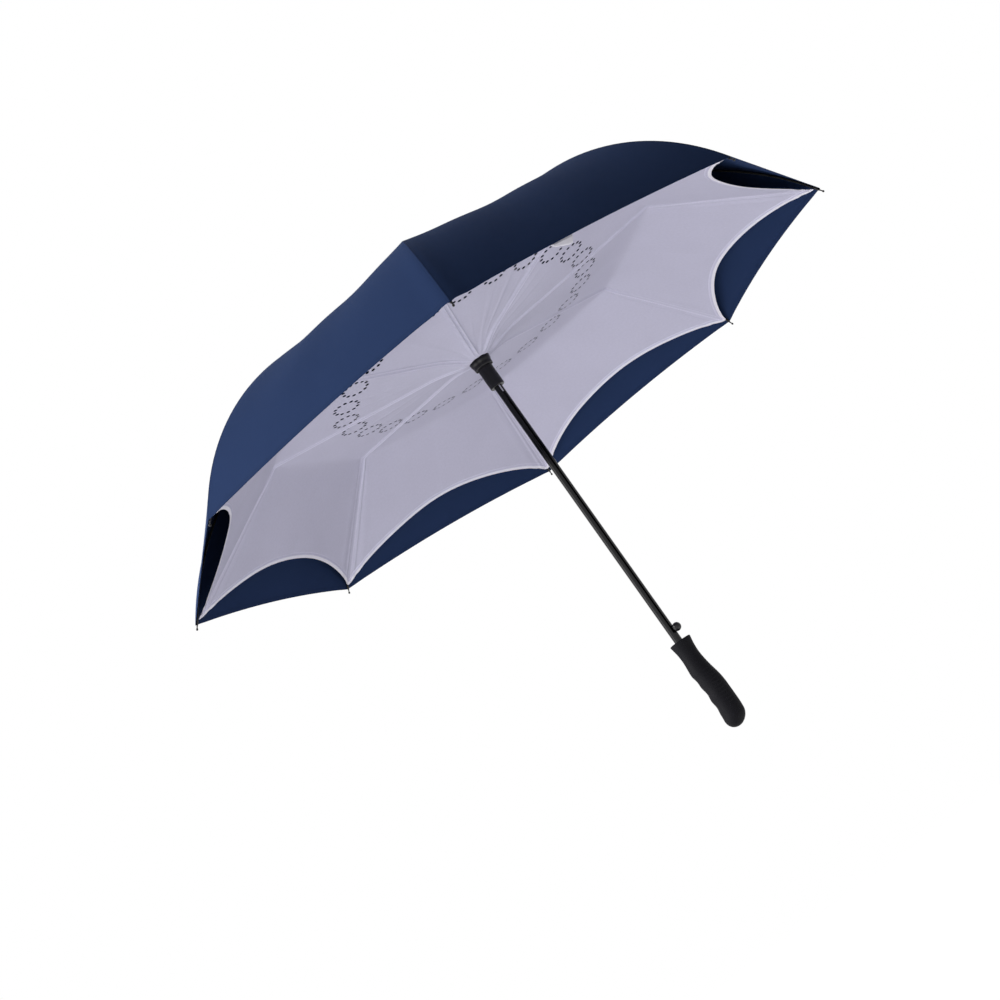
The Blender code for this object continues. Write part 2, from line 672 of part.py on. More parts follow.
def slab(name, top, bottom, wrap=False):
    """Closed solid between two grids of points, indexed along and across."""
    bm = bmesh.new()
    upper = [[bm.verts.new(p) for p in row] for row in top]
    lower = [[bm.verts.new(p) for p in row] for row in bottom]
    rows = len(top)
    columns = len(top[0])
    steps = columns if wrap else columns - 1
    for row in range(rows - 1):
        for column in range(steps):
            after = (column + 1) % columns
            for grid in (upper, lower):
                near, far = grid[row], grid[row + 1]
                bm.faces.new((near[column], near[after], far[after], far[column]))
    for row in (0, rows - 1):
        for column in range(steps):
            after = (column + 1) % columns
            bm.faces.new((upper[row][column], upper[row][after], lower[row][after], lower[row][column]))
    if not wrap:
        for column in (0, columns - 1):
            for row in range(rows - 1):
                above = (upper[row][column], upper[row + 1][column])
                bm.faces.new((*above, lower[row + 1][column], lower[row][column]))
    return mesh_from(bm, name)


def gore_grid(point, depth, steps, length):
    """Half a panel on each side of rib 0, short of the seams, with the arm pin as the origin."""
    origin = Vector((ARM_PIN.x, 0, ARM_PIN.y))
    grid = []
    for row in range(steps + 1):
        along = max(row / steps, SEAM_GAP / length)
        line = []
        for column in range(-PANEL_STEPS, PANEL_STEPS + 1):
            share = abs(column) / PANEL_STEPS / 2
            on_panel = point(along, share, depth)
            on_panel.y *= math.copysign(1, column)
            if abs(column) == PANEL_STEPS:
                on_panel.y -= math.copysign(SEAM_GAP, column)
            line.append(on_panel - origin)
        grid.append(line)
    return grid


def make_gores():
    """Outer parts of both canopies, one gore of each for every rib, riding on its rod."""
    shapes = []
    for name, point, steps, length in (
        ("outer_gore", outer_point, ARC_STEPS, ARC_RADIUS * (ARC_END - ARC_START)),
        ("inner_gore", inner_point, INNER_STEPS, CORNER_RADIUS - KINK_RADIUS),
    ):
        top, bottom = (gore_grid(point, depth, steps, length) for depth in (0, FABRIC))
        shapes.append(slab(name, top, bottom))
    outer, inner = shapes
    for rib in range(RIB_COUNT):
        turn = rib * RIB_ANGLE
        at_pin = radial(ARM_PIN.x, turn, ARM_PIN.y)
        place(f"outer_gore_{rib}", outer, "navy_fabric", at_pin, turn)
        place(f"inner_gore_{rib}", inner, "white_fabric", at_pin, turn)


def centre_grid(line, depth):
    """Rings of taut fabric through the radial points of a line, all round the shaft."""
    grid = []
    for point in line:
        low = Vector((point.x, point.y - depth))
        ring = []
        for rib in range(RIB_COUNT):
            ring += [across_panel(low, step / PANEL_STEPS, rib) for step in range(PANEL_STEPS)]
        grid.append(ring)
    return grid


def place_centre(name, line, look):
    top, bottom = (centre_grid(line, depth) for depth in (0, FABRIC))
    place(name, slab(name, top, bottom, wrap=True), look)


def make_centres():
    """Middle of each canopy: the outer one over the struts, the inner one under the arms."""
    outer_end = ARC_TOP.x - FABRIC * math.sin(ARC_START) - SEAM_GAP
    outer_line = []
    for radius in (CROWN_HOLE_RADIUS / math.cos(HALF_PANEL), CAP_RIM_RADIUS, outer_end):
        outer_line.append(Vector((radius, crown_fabric_under(radius) + FABRIC / math.cos(ARC_START))))
    place_centre("outer_centre", outer_line, "navy_fabric")
    collar = COLLAR_RADIUS / math.cos(HALF_PANEL)
    inner_line = []
    for step in range(INNER_STEPS):
        share = step / (INNER_STEPS - 1)
        radius = collar + (COLLAR_FLARE_RADIUS - collar) * share
        lift = ease(share)
        height = (DISC_TOP + GAP + FABRIC) * (1 - lift) + arm_underside(radius) * lift
        inner_line.append(Vector((radius, height)))
    end = KINK_RADIUS - SEAM_GAP
    inner_line.append(Vector((end, arm_underside(end))))
    place_centre("inner_centre", inner_line, "white_fabric")


def strap_point(past_hem, share, depth):
    """Point of the strap, inside the canopy above the hem and hanging straight down below it."""
    arc_length = ARC_RADIUS * (ARC_END - ARC_START)
    on_canopy = outer_point(min(1 + past_hem / arc_length, 1), share, depth)
    return on_canopy - Vector((0, 0, max(past_hem, 0)))


def make_strap():
    """Closure strap inside an outer panel, with its end below the hem."""
    half_share = STRAP_WIDTH / (2 * TIP_RADIUS * math.sin(HALF_PANEL)) / 2
    shares = [STRAP_PANEL_SHARE + side * half_share for side in (-1, 0, 1)]
    reaches = [STRAP_HANG - STRAP_LENGTH * (1 - row / ARC_STEPS) for row in range(ARC_STEPS + 1)]
    top = [[strap_point(reach, share, STRAP_INSET) for share in shares] for reach in reaches]
    below = STRAP_INSET + STRAP_THICKNESS
    bottom = [[strap_point(reach, share, below) for share in shares] for reach in reaches]
    strap = slab("closure_strap", top, bottom)
    place("closure_strap", strap, "white_fabric", turn=STRAP_PANEL_RIB * RIB_ANGLE)


def main():
    clear_scene()
    make_grip()
    make_shaft()
    make_button()
    make_spring()
    make_tongue()
    make_runner()
    make_disc()
    make_crown()
    make_cap()
    make_bars()
    make_rods()
    make_gores()
    make_centres()
    make_strap()


main()
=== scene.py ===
"""Looks of the open inverted umbrella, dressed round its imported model.

Metres, +Z up from the grip to the crown, rib 0 along +X. Sizes shared with the part's source are repeated.
"""
import json
import math

import bmesh
import bpy
from mathutils import Matrix, Vector
from mathutils.geometry import delaunay_2d_cdt, tessellate_polygon


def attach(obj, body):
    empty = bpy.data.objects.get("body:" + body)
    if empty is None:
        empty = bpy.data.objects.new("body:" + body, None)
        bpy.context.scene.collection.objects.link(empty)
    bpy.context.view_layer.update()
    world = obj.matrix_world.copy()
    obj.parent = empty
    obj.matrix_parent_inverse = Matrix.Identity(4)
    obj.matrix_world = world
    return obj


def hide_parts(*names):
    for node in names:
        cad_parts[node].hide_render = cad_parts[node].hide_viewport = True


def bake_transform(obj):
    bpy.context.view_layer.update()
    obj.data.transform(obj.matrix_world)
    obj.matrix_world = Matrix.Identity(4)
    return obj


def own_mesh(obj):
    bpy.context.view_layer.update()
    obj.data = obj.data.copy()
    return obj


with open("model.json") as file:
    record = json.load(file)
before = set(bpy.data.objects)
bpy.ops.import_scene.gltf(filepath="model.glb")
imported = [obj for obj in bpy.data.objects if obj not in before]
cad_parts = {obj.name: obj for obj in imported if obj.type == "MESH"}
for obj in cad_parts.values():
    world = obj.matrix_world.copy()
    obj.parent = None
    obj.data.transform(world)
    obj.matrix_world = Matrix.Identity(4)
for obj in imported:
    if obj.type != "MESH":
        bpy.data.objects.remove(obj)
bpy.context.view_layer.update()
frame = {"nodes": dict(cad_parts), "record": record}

# Camera, solved from the rib tips, the canopy's kinks and the shaft
CAMERA_PLACE = Vector((0.0501, 2.3018, -0.1115))
CAMERA_FORWARD = Vector((-0.04458, -0.97622, 0.21214))
CAMERA_UP = Vector((-0.57405, 0.19882, 0.79432))
CAMERA_LENS = 61.45
CAMERA_SENSOR = 36.0
CAMERA_SHIFT = (-0.0765, -0.0716)

# Canopy sizes, as in the part's source
RIB_COUNT = 8
RIB_ANGLE = math.tau / RIB_COUNT
HALF_PANEL = RIB_ANGLE / 2
TIP_RADIUS = 0.530
TIP_HEIGHT = 0.470
ARC_RADIUS = 0.393
ARC_START = math.radians(15.5)
ARC_END = math.radians(58.5)
ARC_LENGTH = ARC_RADIUS * (ARC_END - ARC_START)
OUTER_HEM_DIP = 0.0078
HEM_DIP_POWER = 3
PANEL_SAG = 0.004
BEND_SAG = 0.0085
BEND_SAG_RADIUS = 0.24
BEND_SAG_REACH = 0.11
CROWN_HOLE_RADIUS = 0.0085
COLLAR_RADIUS = 0.0162
COLLAR_FLARE_RADIUS = 0.085
COLLAR_FLARE_POWER = 2.6
CORNER_SHORT = 0.0085
CORNER_BELOW_ROD = 0.0024
ARM_TO_FABRIC = 0.0030
SCALLOP_DEPTH = 0.060
SCALLOP_POWER = 0.8
CLOTH = 0.0003

# Linkage sizes, as in the part's source
GAP = 0.0003
CAD_FABRIC = 0.0008
ARM_SLOPE = math.radians(6.5)
ARM_PIN_BEYOND_BEND = 0.008
ARM_PIN_DROP = 0.0487
KINK_BEYOND_PIN = 0.013
PIVOT_CIRCLE_RADIUS = 0.0125
CROWN_PIVOT_DROP = 0.0140
STRUT_PIN_BELOW_ROD = 0.0035
BAR_SIDE = 0.0032
ROD_RADIUS = 0.0015
RING_DROP = 0.0132
SLEEVE_RADIUS = 0.0110
DISC_HEIGHT = 0.0120
SHAFT_RADIUS = 0.006
SHAFT_RISE = 0.0080
CAP_RISE = 0.0135

# Worked-out places in a rib's radial plane, as (distance from the shaft, height)
ARC_CENTRE = Vector((
    TIP_RADIUS - ARC_RADIUS * math.sin(ARC_END),
    TIP_HEIGHT - ARC_RADIUS * math.cos(ARC_END),
))


def on_arc(angle, radius):
    """Point on an arc round the canopy's arc centre, with the angle taken from the vertical."""
    return ARC_CENTRE + radius * Vector((math.sin(angle), math.cos(angle)))


BEND = on_arc(ARC_START, ARC_RADIUS)
CANOPY_TOP = BEND.y + BEND.x * math.tan(ARC_START)
ROD_LINE_RADIUS = ARC_RADIUS - CAD_FABRIC - GAP - ROD_RADIUS
ARM_PIN = BEND + Vector((ARM_PIN_BEYOND_BEND, -ARM_PIN_DROP))
STRUT_PIN = on_arc(ARC_START, ROD_LINE_RADIUS - STRUT_PIN_BELOW_ROD)
KINK_RADIUS = ARM_PIN.x + KINK_BEYOND_PIN
CORNER_RADIUS = TIP_RADIUS - CORNER_SHORT
RUNNER_PIVOT = Vector((
    PIVOT_CIRCLE_RADIUS, ARM_PIN.y - (ARM_PIN.x - PIVOT_CIRCLE_RADIUS) * math.tan(ARM_SLOPE),
))
CROWN_PIVOT = Vector((PIVOT_CIRCLE_RADIUS, CANOPY_TOP - CROWN_PIVOT_DROP))
RING_BOTTOM = RUNNER_PIVOT.y - RING_DROP
DISC_TOP = RING_BOTTOM - GAP
DISC_BOTTOM = DISC_TOP - DISC_HEIGHT


# Materials

class Wire:
    """An output in a tree of nodes, with arithmetic that adds Math nodes."""

    def __init__(self, nodes, socket):
        self.nodes = nodes
        self.socket = socket

    def maths(self, operation, *values):
        inputs = dict(enumerate(values))
        return self.nodes.node("ShaderNodeMath", {"operation": operation}, inputs)

    def __add__(self, other):
        return self.maths("ADD", self, other)

    __radd__ = __add__

    def __sub__(self, other):
        return self.maths("SUBTRACT", self, other)

    def __rsub__(self, other):
        return self.maths("SUBTRACT", other, self)

    def __mul__(self, other):
        return self.maths("MULTIPLY", self, other)

    __rmul__ = __mul__

    def __truediv__(self, other):
        return self.maths("DIVIDE", self, other)

    def __lt__(self, other):
        return self.maths("LESS_THAN", self, other)

    def __gt__(self, other):
        return self.maths("GREATER_THAN", self, other)

    def __abs__(self):
        return self.maths("ABSOLUTE", self)

    def beside(self, output):
        """Another output of the same node."""
        return Wire(self.nodes, self.socket.node.outputs[output])

    def sine(self):
        return self.maths("SINE", self)

    def fraction(self):
        return self.maths("FRACT", self)


class Nodes:
    """A tree of nodes, with one method that makes every node."""

    def __init__(self, tree):
        self.tree = tree

    def feed(self, socket, value):
        if isinstance(value, Wire):
            self.tree.links.new(value.socket, socket)
        else:
            socket.default_value = value

    def node(self, kind, settings=None, inputs=None, output=0):
        made = self.tree.nodes.new(kind)
        for name, value in (settings or {}).items():
            setattr(made, name, value)
        for name, value in (inputs or {}).items():
            self.feed(made.inputs[name], value)
        return Wire(self, made.outputs[output])

    def shows_white(self):
        """One for the rays that find white: what the camera sees directly, in gloss and through glass."""
        path = self.node("ShaderNodeLightPath")
        glossy = path.maths("MAXIMUM", path, path.beside("Is Glossy Ray"))
        return path.maths("MAXIMUM", glossy, path.beside("Is Transmission Ray"))


class Finish(Nodes):
    """A material, round its main shader."""

    def __init__(self, name, **sockets):
        self.material = bpy.data.materials.new(name)
        self.material.use_nodes = True
        super().__init__(self.material.node_tree)
        self.shader = self.tree.nodes["Principled BSDF"]
        for socket, value in sockets.items():
            self.paint(socket.replace("_", " "), value)

    def paint(self, socket, value):
        self.feed(self.shader.inputs[socket], value)

    def mix(self, factor, low, high):
        """Colour between two others."""
        return self.node(
            "ShaderNodeMix", {"data_type": "RGBA"},
            {"Factor": factor, 6: low, 7: high}, output=2,
        )

    def spread(self, vector):
        """The parts of a vector."""
        parts = self.node("ShaderNodeSeparateXYZ", inputs={0: vector})
        return [parts.beside(index) for index in range(3)]

    def noise(self, scale, detail, vector):
        inputs = {"Scale": scale, "Detail": detail, "Vector": vector}
        return self.node("ShaderNodeTexNoise", inputs=inputs)

    def place(self):
        """Place on the object, in metres."""
        return self.node("ShaderNodeTexCoord", output="Object")

    def bump(self, height, distance, strength):
        inputs = {"Strength": strength, "Distance": distance, "Height": height}
        self.paint("Normal", self.node("ShaderNodeBump", inputs=inputs))


def rgb(red, green, blue):
    return (red, green, blue, 1.0)


def shade(colour, by):
    return (*(min(part * by, 1.0) for part in colour[:3]), 1.0)


THREAD_PITCH = 0.0009
WEAVE_GRAIN = 0.10
SLUB_GRAIN = 0.5
BLOTCH_GRAIN = 0.4
SLUB_SCALE = 260.0
SLUB_DETAIL = 3.0
BLOTCH_SCALE = 14.0
BLOTCH_DETAIL = 2.0
GRAIN_DARK = 0.90
GRAIN_PALE = 1.10
STITCH_PITCH = 0.0035
STITCH_WIDTH = 0.0004
STITCH_SHADE = 0.16
STITCH_DARK = 0.6
DASH_START = 0.35
RIB_STITCH_PLACE = 0.0030
# Painted light lines beside each rib seam
PAINTED_RIB_LINE_PLACE = 0.0028
PAINTED_RIB_LINE_WIDTH = 0.0008
HEM_STITCH_PLACE = 0.0054
HEM_EDGE_WIDTH = 0.0040
HEM_WIDTH = 0.0070
# Width of the painted light line along the hem's inner edge
PAINTED_HEM_LINE_WIDTH = 0.0005
# Painted shade line along each rib's crest
CREST_WIDTH = 0.0011
CREST_SHADOW = 0.4
CLOTH_GLOSS = 0.03
CLOTH_ROUGHNESS = 0.75
CLOTH_ROUGHNESS_SPREAD = 0.12
WEAVE_RELIEF = 0.25
SLUB_RELIEF = 0.5
STITCH_RELIEF = 0.8
CLOTH_RELIEF = 0.00018
CLOTH_RELIEF_STRENGTH = 0.6


def cloth(name, colour, binding, painted_seam_colour, hem_band, painted_seam_share, crest_shade):
    """Woven cloth with rib seams sewn down flat, a folded hem and stitching, laid out by two maps in metres.
    Thin lines beside the rib seams and along the hem's inner edge carry painted light, paler or darker than
    the cloth as their given colour says, and a line on the rib's crest carries painted shade.
    """
    finish = Finish(name, Specular_IOR_Level=CLOTH_GLOSS)
    weave_map = finish.node("ShaderNodeUVMap", {"uv_map": "cloth"})
    across, along, _ = finish.spread(weave_map)
    turn = math.tau / THREAD_PITCH
    weave = (across * turn).sine() * (along * turn).sine()
    slub = finish.noise(SLUB_SCALE, SLUB_DETAIL, weave_map)
    blotch = finish.noise(BLOTCH_SCALE, BLOTCH_DETAIL, weave_map)
    from_rib, from_hem, _ = finish.spread(finish.node("ShaderNodeUVMap", {"uv_map": "edges"}))
    dashes = (along / STITCH_PITCH).fraction() > DASH_START
    rib_stitch = abs(abs(from_rib) - RIB_STITCH_PLACE) < STITCH_WIDTH
    stitches = (rib_stitch + (abs(from_hem - HEM_STITCH_PLACE) < STITCH_WIDTH)) * dashes
    grain = weave * WEAVE_GRAIN + slub * SLUB_GRAIN + blotch * BLOTCH_GRAIN
    plain = finish.mix(grain, shade(colour, GRAIN_DARK), shade(colour, GRAIN_PALE))
    banded = finish.mix(from_hem < HEM_WIDTH, plain, shade(colour, hem_band))
    bound = finish.mix(from_hem < HEM_EDGE_WIDTH, banded, binding)
    # Painted light along the seams: highlight lines on the white cloth, shade lines on the navy
    painted_rib_lines = abs(abs(from_rib) - PAINTED_RIB_LINE_PLACE) < PAINTED_RIB_LINE_WIDTH
    painted_hem_line = abs(from_hem - HEM_WIDTH) < PAINTED_HEM_LINE_WIDTH
    seam_painted = finish.mix((painted_rib_lines + painted_hem_line) * painted_seam_share, bound, painted_seam_colour)
    # Painted shade on the rib's crest, where the cloth turns over the rib
    crest = abs(from_rib) < CREST_WIDTH
    crested = finish.mix(crest * crest_shade, seam_painted, shade(colour, CREST_SHADOW))
    stitched = finish.mix(stitches * STITCH_SHADE, crested, shade(colour, STITCH_DARK))
    finish.paint("Base Color", stitched)
    finish.paint("Roughness", CLOTH_ROUGHNESS + (slub - 0.5) * CLOTH_ROUGHNESS_SPREAD)
    relief = weave * WEAVE_RELIEF + slub * SLUB_RELIEF - stitches * STITCH_RELIEF
    finish.bump(relief, CLOTH_RELIEF, CLOTH_RELIEF_STRENGTH)
    return finish.material


WEAR_SCALE = 45.0
WEAR_DETAIL = 3.0
WEAR_DARK = 0.8
WEAR_PALE = 1.3
WEAR_GLOSS_SPREAD = 0.16
GRAIN_DETAIL = 2.0
GRAIN_GLOSS_SPREAD = 0.06
GRAIN_RELIEF_STRENGTH = 0.5


def plastic(name, colour, roughness, grain_scale, grain_depth, gloss):
    """Moulded or painted surface with a fine grain and small changes in gloss."""
    finish = Finish(name, Specular_IOR_Level=gloss)
    place = finish.place()
    grain = finish.noise(grain_scale, GRAIN_DETAIL, place)
    wear = finish.noise(WEAR_SCALE, WEAR_DETAIL, place)
    finish.paint("Base Color", finish.mix(wear, shade(colour, WEAR_DARK), shade(colour, WEAR_PALE)))
    gloss_spread = (wear - 0.5) * WEAR_GLOSS_SPREAD + (grain - 0.5) * GRAIN_GLOSS_SPREAD
    finish.paint("Roughness", roughness + gloss_spread)
    finish.bump(grain, grain_depth, GRAIN_RELIEF_STRENGTH)
    return finish.material


DRAWN_LINES = (900.0, 900.0, 40.0)
DRAWN_DETAIL = 2.0
DRAWN_DARK = 0.85
DRAWN_PALE = 1.1
DRAWN_GLOSS_SPREAD = 0.2
DRAWN_DEPTH = 0.00005
DRAWN_RELIEF_STRENGTH = 0.4
# Painted shade for metal that lies inside the tube
TUBE_SHADE = rgb(0.010, 0.010, 0.011)


def drawn_metal(name, colour, roughness, shade_within_radius=0.0):
    """Metal with faint lines along its length, and painted shade, nearly black, close to the shaft's axis,
    where the metal lies inside the tube.
    """
    finish = Finish(name, Metallic=1.0)
    place = finish.place()
    stretch = finish.node("ShaderNodeMapping", inputs={"Vector": place, "Scale": DRAWN_LINES})
    lines = finish.noise(1.0, DRAWN_DETAIL, stretch)
    bright = finish.mix(lines, shade(colour, DRAWN_DARK), shade(colour, DRAWN_PALE))
    # Painted shade: metal within the tube's radius is darkened nearly to black
    if shade_within_radius:
        x, y, _ = finish.spread(place)
        inside = (x * x + y * y) < shade_within_radius ** 2
        bright = finish.mix(inside, bright, TUBE_SHADE)
    finish.paint("Base Color", bright)
    finish.paint("Roughness", roughness + (lines - 0.5) * DRAWN_GLOSS_SPREAD)
    finish.bump(lines, DRAWN_DEPTH, DRAWN_RELIEF_STRENGTH)
    return finish.material


NAVY = rgb(0.0210, 0.0398, 0.1058)
WHITE = rgb(0.640, 0.625, 0.770)
WHITE_BINDING = rgb(0.94, 0.915, 1.0)
# Painted highlight colour for the white cloth's seam lines
WHITE_SEAM_HIGHLIGHT = rgb(0.84, 0.82, 0.98)
# The navy cloth's seam lines and rib crests get painted shade, the white cloth's seam lines painted highlight
LOOKS = {
    "navy_fabric": cloth("navy_fabric", NAVY, shade(NAVY, 0.93), shade(NAVY, 0.8), 0.95, 0.3, 0.55),
    "white_fabric": cloth("white_fabric", WHITE, WHITE_BINDING, WHITE_SEAM_HIGHLIGHT, 1.12, 0.5, 0.0),
    "gloss_black": plastic("gloss_black", rgb(0.0045, 0.0045, 0.0055), 0.12, 300.0, 0.00001, 0.28),
    "black_plastic": plastic("black_plastic", rgb(0.0050, 0.0048, 0.0062), 0.36, 1400.0, 0.00004, 0.28),
    "black_rubber": plastic("black_rubber", rgb(0.0044, 0.0042, 0.0062), 0.60, 1800.0, 0.00005, 0.10),
    "steel": drawn_metal("steel", rgb(0.56, 0.56, 0.57), 0.28),
    "glass_fibre": plastic("glass_fibre", rgb(0.0070, 0.0070, 0.0080), 0.34, 700.0, 0.00002, 0.2),
}
TUBE_WALL_MARGIN = 0.0002
INSIDE_TUBE = SHAFT_RADIUS - TUBE_WALL_MARGIN
# Steel for the spring and tongue, with painted shade where they lie inside the tube
SPRING_STEEL_SHADED = drawn_metal("spring_steel_shaded", rgb(0.62, 0.62, 0.62), 0.22, INSIDE_TUBE)
cad_slots = {row["node"]: row["material_slot"] for row in frame["record"]["subparts"]}
for node_name, cad_piece in frame["nodes"].items():
    cad_piece.data.materials.clear()
    in_tube = node_name in ("opening_spring", "spring_tongue")
    cad_piece.data.materials.append(SPRING_STEEL_SHADED if in_tube else LOOKS[cad_slots[node_name]])


# Meshes

SHARP_ANGLE = math.radians(32)
MERGE_DISTANCE = 1e-7


def place_piece(name, mesh, look, body):
    """Add a mesh as a named piece, with its finish, that rides on a body."""
    mesh.materials.append(LOOKS[look])
    piece = bpy.data.objects.new(name, mesh)
    bpy.context.collection.objects.link(piece)
    if body:
        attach(piece, body)
    return piece


def piece_from(name, bm, look, body, replaced=(), turn=0.0):
    """Finish a closed mesh as a piece, which may stand for CAD nodes."""
    bmesh.ops.remove_doubles(bm, verts=bm.verts, dist=MERGE_DISTANCE)
    bmesh.ops.recalc_face_normals(bm, faces=bm.faces)
    mesh = bpy.data.meshes.new(name)
    bm.to_mesh(mesh)
    bm.free()
    mesh.shade_smooth()
    mesh.set_sharp_from_angle(angle=SHARP_ANGLE)
    mesh.transform(Matrix.Rotation(turn, 4, "Z"))
    piece = place_piece(name, mesh, look, body)
    if replaced:
        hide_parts(*replaced)


def skin(bm, rings, closed=False):
    """Skin a row of rings with equal counts, closed round or capped at both ends."""
    loops = [[bm.verts.new(point) for point in ring] for ring in rings]
    pairs = list(zip(loops, loops[1:]))
    if closed:
        pairs.append((loops[-1], loops[0]))
    for low, high in pairs:
        for index in range(len(low)):
            after = (index + 1) % len(low)
            bm.faces.new((low[index], low[after], high[after], high[index]))
    if not closed:
        bm.faces.new(loops[0])
        bm.faces.new(loops[-1])


def circle(radius, height, steps):
    """Ring of points round the shaft."""
    angles = (math.tau * step / steps for step in range(steps))
    return [Vector((radius * math.cos(a), radius * math.sin(a), height)) for a in angles]


def turned(bm, profile, steps=64, closed=True, matrix=None):
    """Solid of revolution from (radius, height) points."""
    rings = [circle(radius, height, steps) for radius, height in profile]
    if matrix:
        rings = [[matrix @ point for point in ring] for ring in rings]
    skin(bm, rings, closed)


def rounded(corners, radius, steps=4):
    """A profile with its corners rounded off."""
    points = []
    count = len(corners)
    for index in range(count):
        before, here, after = (Vector(corners[(index + shift) % count]) for shift in (-1, 0, 1))
        back = before - here
        ahead = after - here
        reach = min(radius, back.length / 2, ahead.length / 2)
        start = here + back.normalized() * reach
        end = here + ahead.normalized() * reach
        for step in range(steps + 1):
            share = step / steps
            points.append(start.lerp(here, share).lerp(here.lerp(end, share), share))
    return points


def sweep(bm, path, radius, steps=12):
    """Round bar along points of the radial plane, with a radius for each."""
    rings = []
    for index, point in enumerate(path):
        ahead = path[min(index + 1, len(path) - 1)] - path[max(index - 1, 0)]
        direction = math.atan2(ahead.y, ahead.x)
        normal = Vector((-math.sin(direction), 0, math.cos(direction)))
        thick = radius[index] if isinstance(radius, list) else radius
        ring = []
        for step in range(steps):
            angle = math.tau * step / steps
            offset = normal * math.cos(angle) + Vector((0, 1, 0)) * math.sin(angle)
            ring.append(Vector((point.x, 0, point.y)) + thick * offset)
        rings.append(ring)
    skin(bm, rings)


def capsule(start, end, half_width, steps=12):
    """Outline of a bar with round ends, in the radial plane."""
    along = (end - start).normalized() if (end - start).length else Vector((1, 0))
    heading = math.atan2(along.y, along.x)
    points = []
    for centre, first in ((end, heading - math.pi / 2), (start, heading + math.pi / 2)):
        for step in range(steps + 1):
            angle = first + math.pi * step / steps
            points.append(centre + half_width * Vector((math.cos(angle), math.sin(angle))))
    return points


def eye(centre, radius, steps=20):
    """Ring of points in a plane, such as a pin's hole."""
    angles = (math.tau * step / steps for step in range(steps))
    return [centre + radius * Vector((math.cos(a), math.sin(a))) for a in angles]


def plate(bm, loops, low, high):
    """Flat bar between two tangential offsets, from an outline and its holes."""
    flat = [Vector((p.x, p.y, 0)) for loop in loops for p in loop]
    triangles = tessellate_polygon([[Vector((p.x, p.y, 0)) for p in loop] for loop in loops])
    near = [bm.verts.new((p.x, low, p.y)) for p in flat]
    far = [bm.verts.new((p.x, high, p.y)) for p in flat]
    for triangle in triangles:
        bm.faces.new([near[index] for index in triangle])
        bm.faces.new([far[index] for index in reversed(triangle)])
    first = 0
    for loop in loops:
        for index in range(len(loop)):
            here = first + index
            after = first + (index + 1) % len(loop)
            bm.faces.new((near[here], near[after], far[after], far[here]))
        first += len(loop)


# Cloth surfaces, each as a height over a plan position in the frame of its rib

def bow(share):
    """Zero on the ribs and one halfway across a panel."""
    return 4 * share * (1 - share)


def ease(share):
    """Smooth step from zero to one."""
    share = min(max(share, 0.0), 1.0)
    return share * share * (3 - 2 * share)


def chord(radius, share):
    """Plan place on the straight line from a rib to the next, at a distance out along the ribs."""
    side = abs(share)
    across = radius * side * math.sin(RIB_ANGLE)
    return Vector((radius * (1 - side * (1 - math.cos(RIB_ANGLE))), math.copysign(across, share)))


def panel_place(place):
    """Distance out along the ribs, and share of the panel, of a plan place."""
    radius = place.x + abs(place.y) * math.tan(HALF_PANEL)
    return radius, abs(place.y) / (radius * math.sin(RIB_ANGLE))


def outer_point(along, share, depth, rib):
    """Outer canopy: along is 0 at the crown, 1 at the bend and 2 at the hem, which dips between ribs."""
    side = abs(share)
    if along <= 1:
        radius = CROWN_HOLE_RADIUS + (BEND.x - CROWN_HOLE_RADIUS) * along
        place = chord(radius, share)
        height = CANOPY_TOP - radius * math.tan(ARC_START) - depth / math.cos(ARC_START)
        return Vector((place.x, place.y, height + outer_ripple(radius, share, rib)))
    down = along - 1
    angle = ARC_START + (ARC_END - ARC_START) * down
    dip = OUTER_HEM_DIP * bow(side) * down ** HEM_DIP_POWER
    sag = PANEL_SAG * bow(side) * math.sin(math.pi * down) + depth
    on_rib = on_arc(angle - dip / ARC_RADIUS, ARC_RADIUS - sag)
    place = chord(on_rib.x, share)
    return Vector((place.x, place.y, on_rib.y + outer_ripple(on_rib.x, share, rib)))


# Pulls beside the ribs near the hem, and the cloth's drift between ribs
PULL = 0.0003
PUCKER = 0.0016
PUCKERED_RIB = 2
PULL_FROM = 0.36
PULL_RUN = 0.17
PULL_SHARE = 0.07
PULL_CLEAR_SHARE = 0.015
PULL_WAVES = 40
PULL_SHIFT = 3
DRIFT = 0.0009
DRIFT_TURNS = 19
DRIFT_WAVES = 11
DRIFT_RISE = 0.2
DRIFT_END = 0.47
DRIFT_RUN = 0.05


def outer_ripple(radius, share, rib):
    """Faint pulls in the taut outer cloth, strongest towards the hem's corners."""
    turn = (rib + share) * RIB_ANGLE
    side = abs(share)
    near_rib = math.exp(-(side / PULL_SHARE) ** 2) * (1 - math.exp(-(side / PULL_CLEAR_SHARE) ** 2))
    towards_hem = ease((radius - PULL_FROM) / PULL_RUN)
    depth = PUCKER if rib == PUCKERED_RIB else PULL
    pull = depth * near_rib * towards_hem * math.cos(side * PULL_WAVES + PULL_SHIFT * rib)
    drift = DRIFT * bow(side) * math.cos(DRIFT_TURNS * turn + DRIFT_WAVES * radius)
    drift *= ease(radius / DRIFT_RISE) * (1 - ease((radius - DRIFT_END) / DRIFT_RUN))
    slack = BEND_SAG * bow(side) * math.exp(-((radius - BEND_SAG_RADIUS) / BEND_SAG_REACH) ** 2)
    return pull + drift - slack


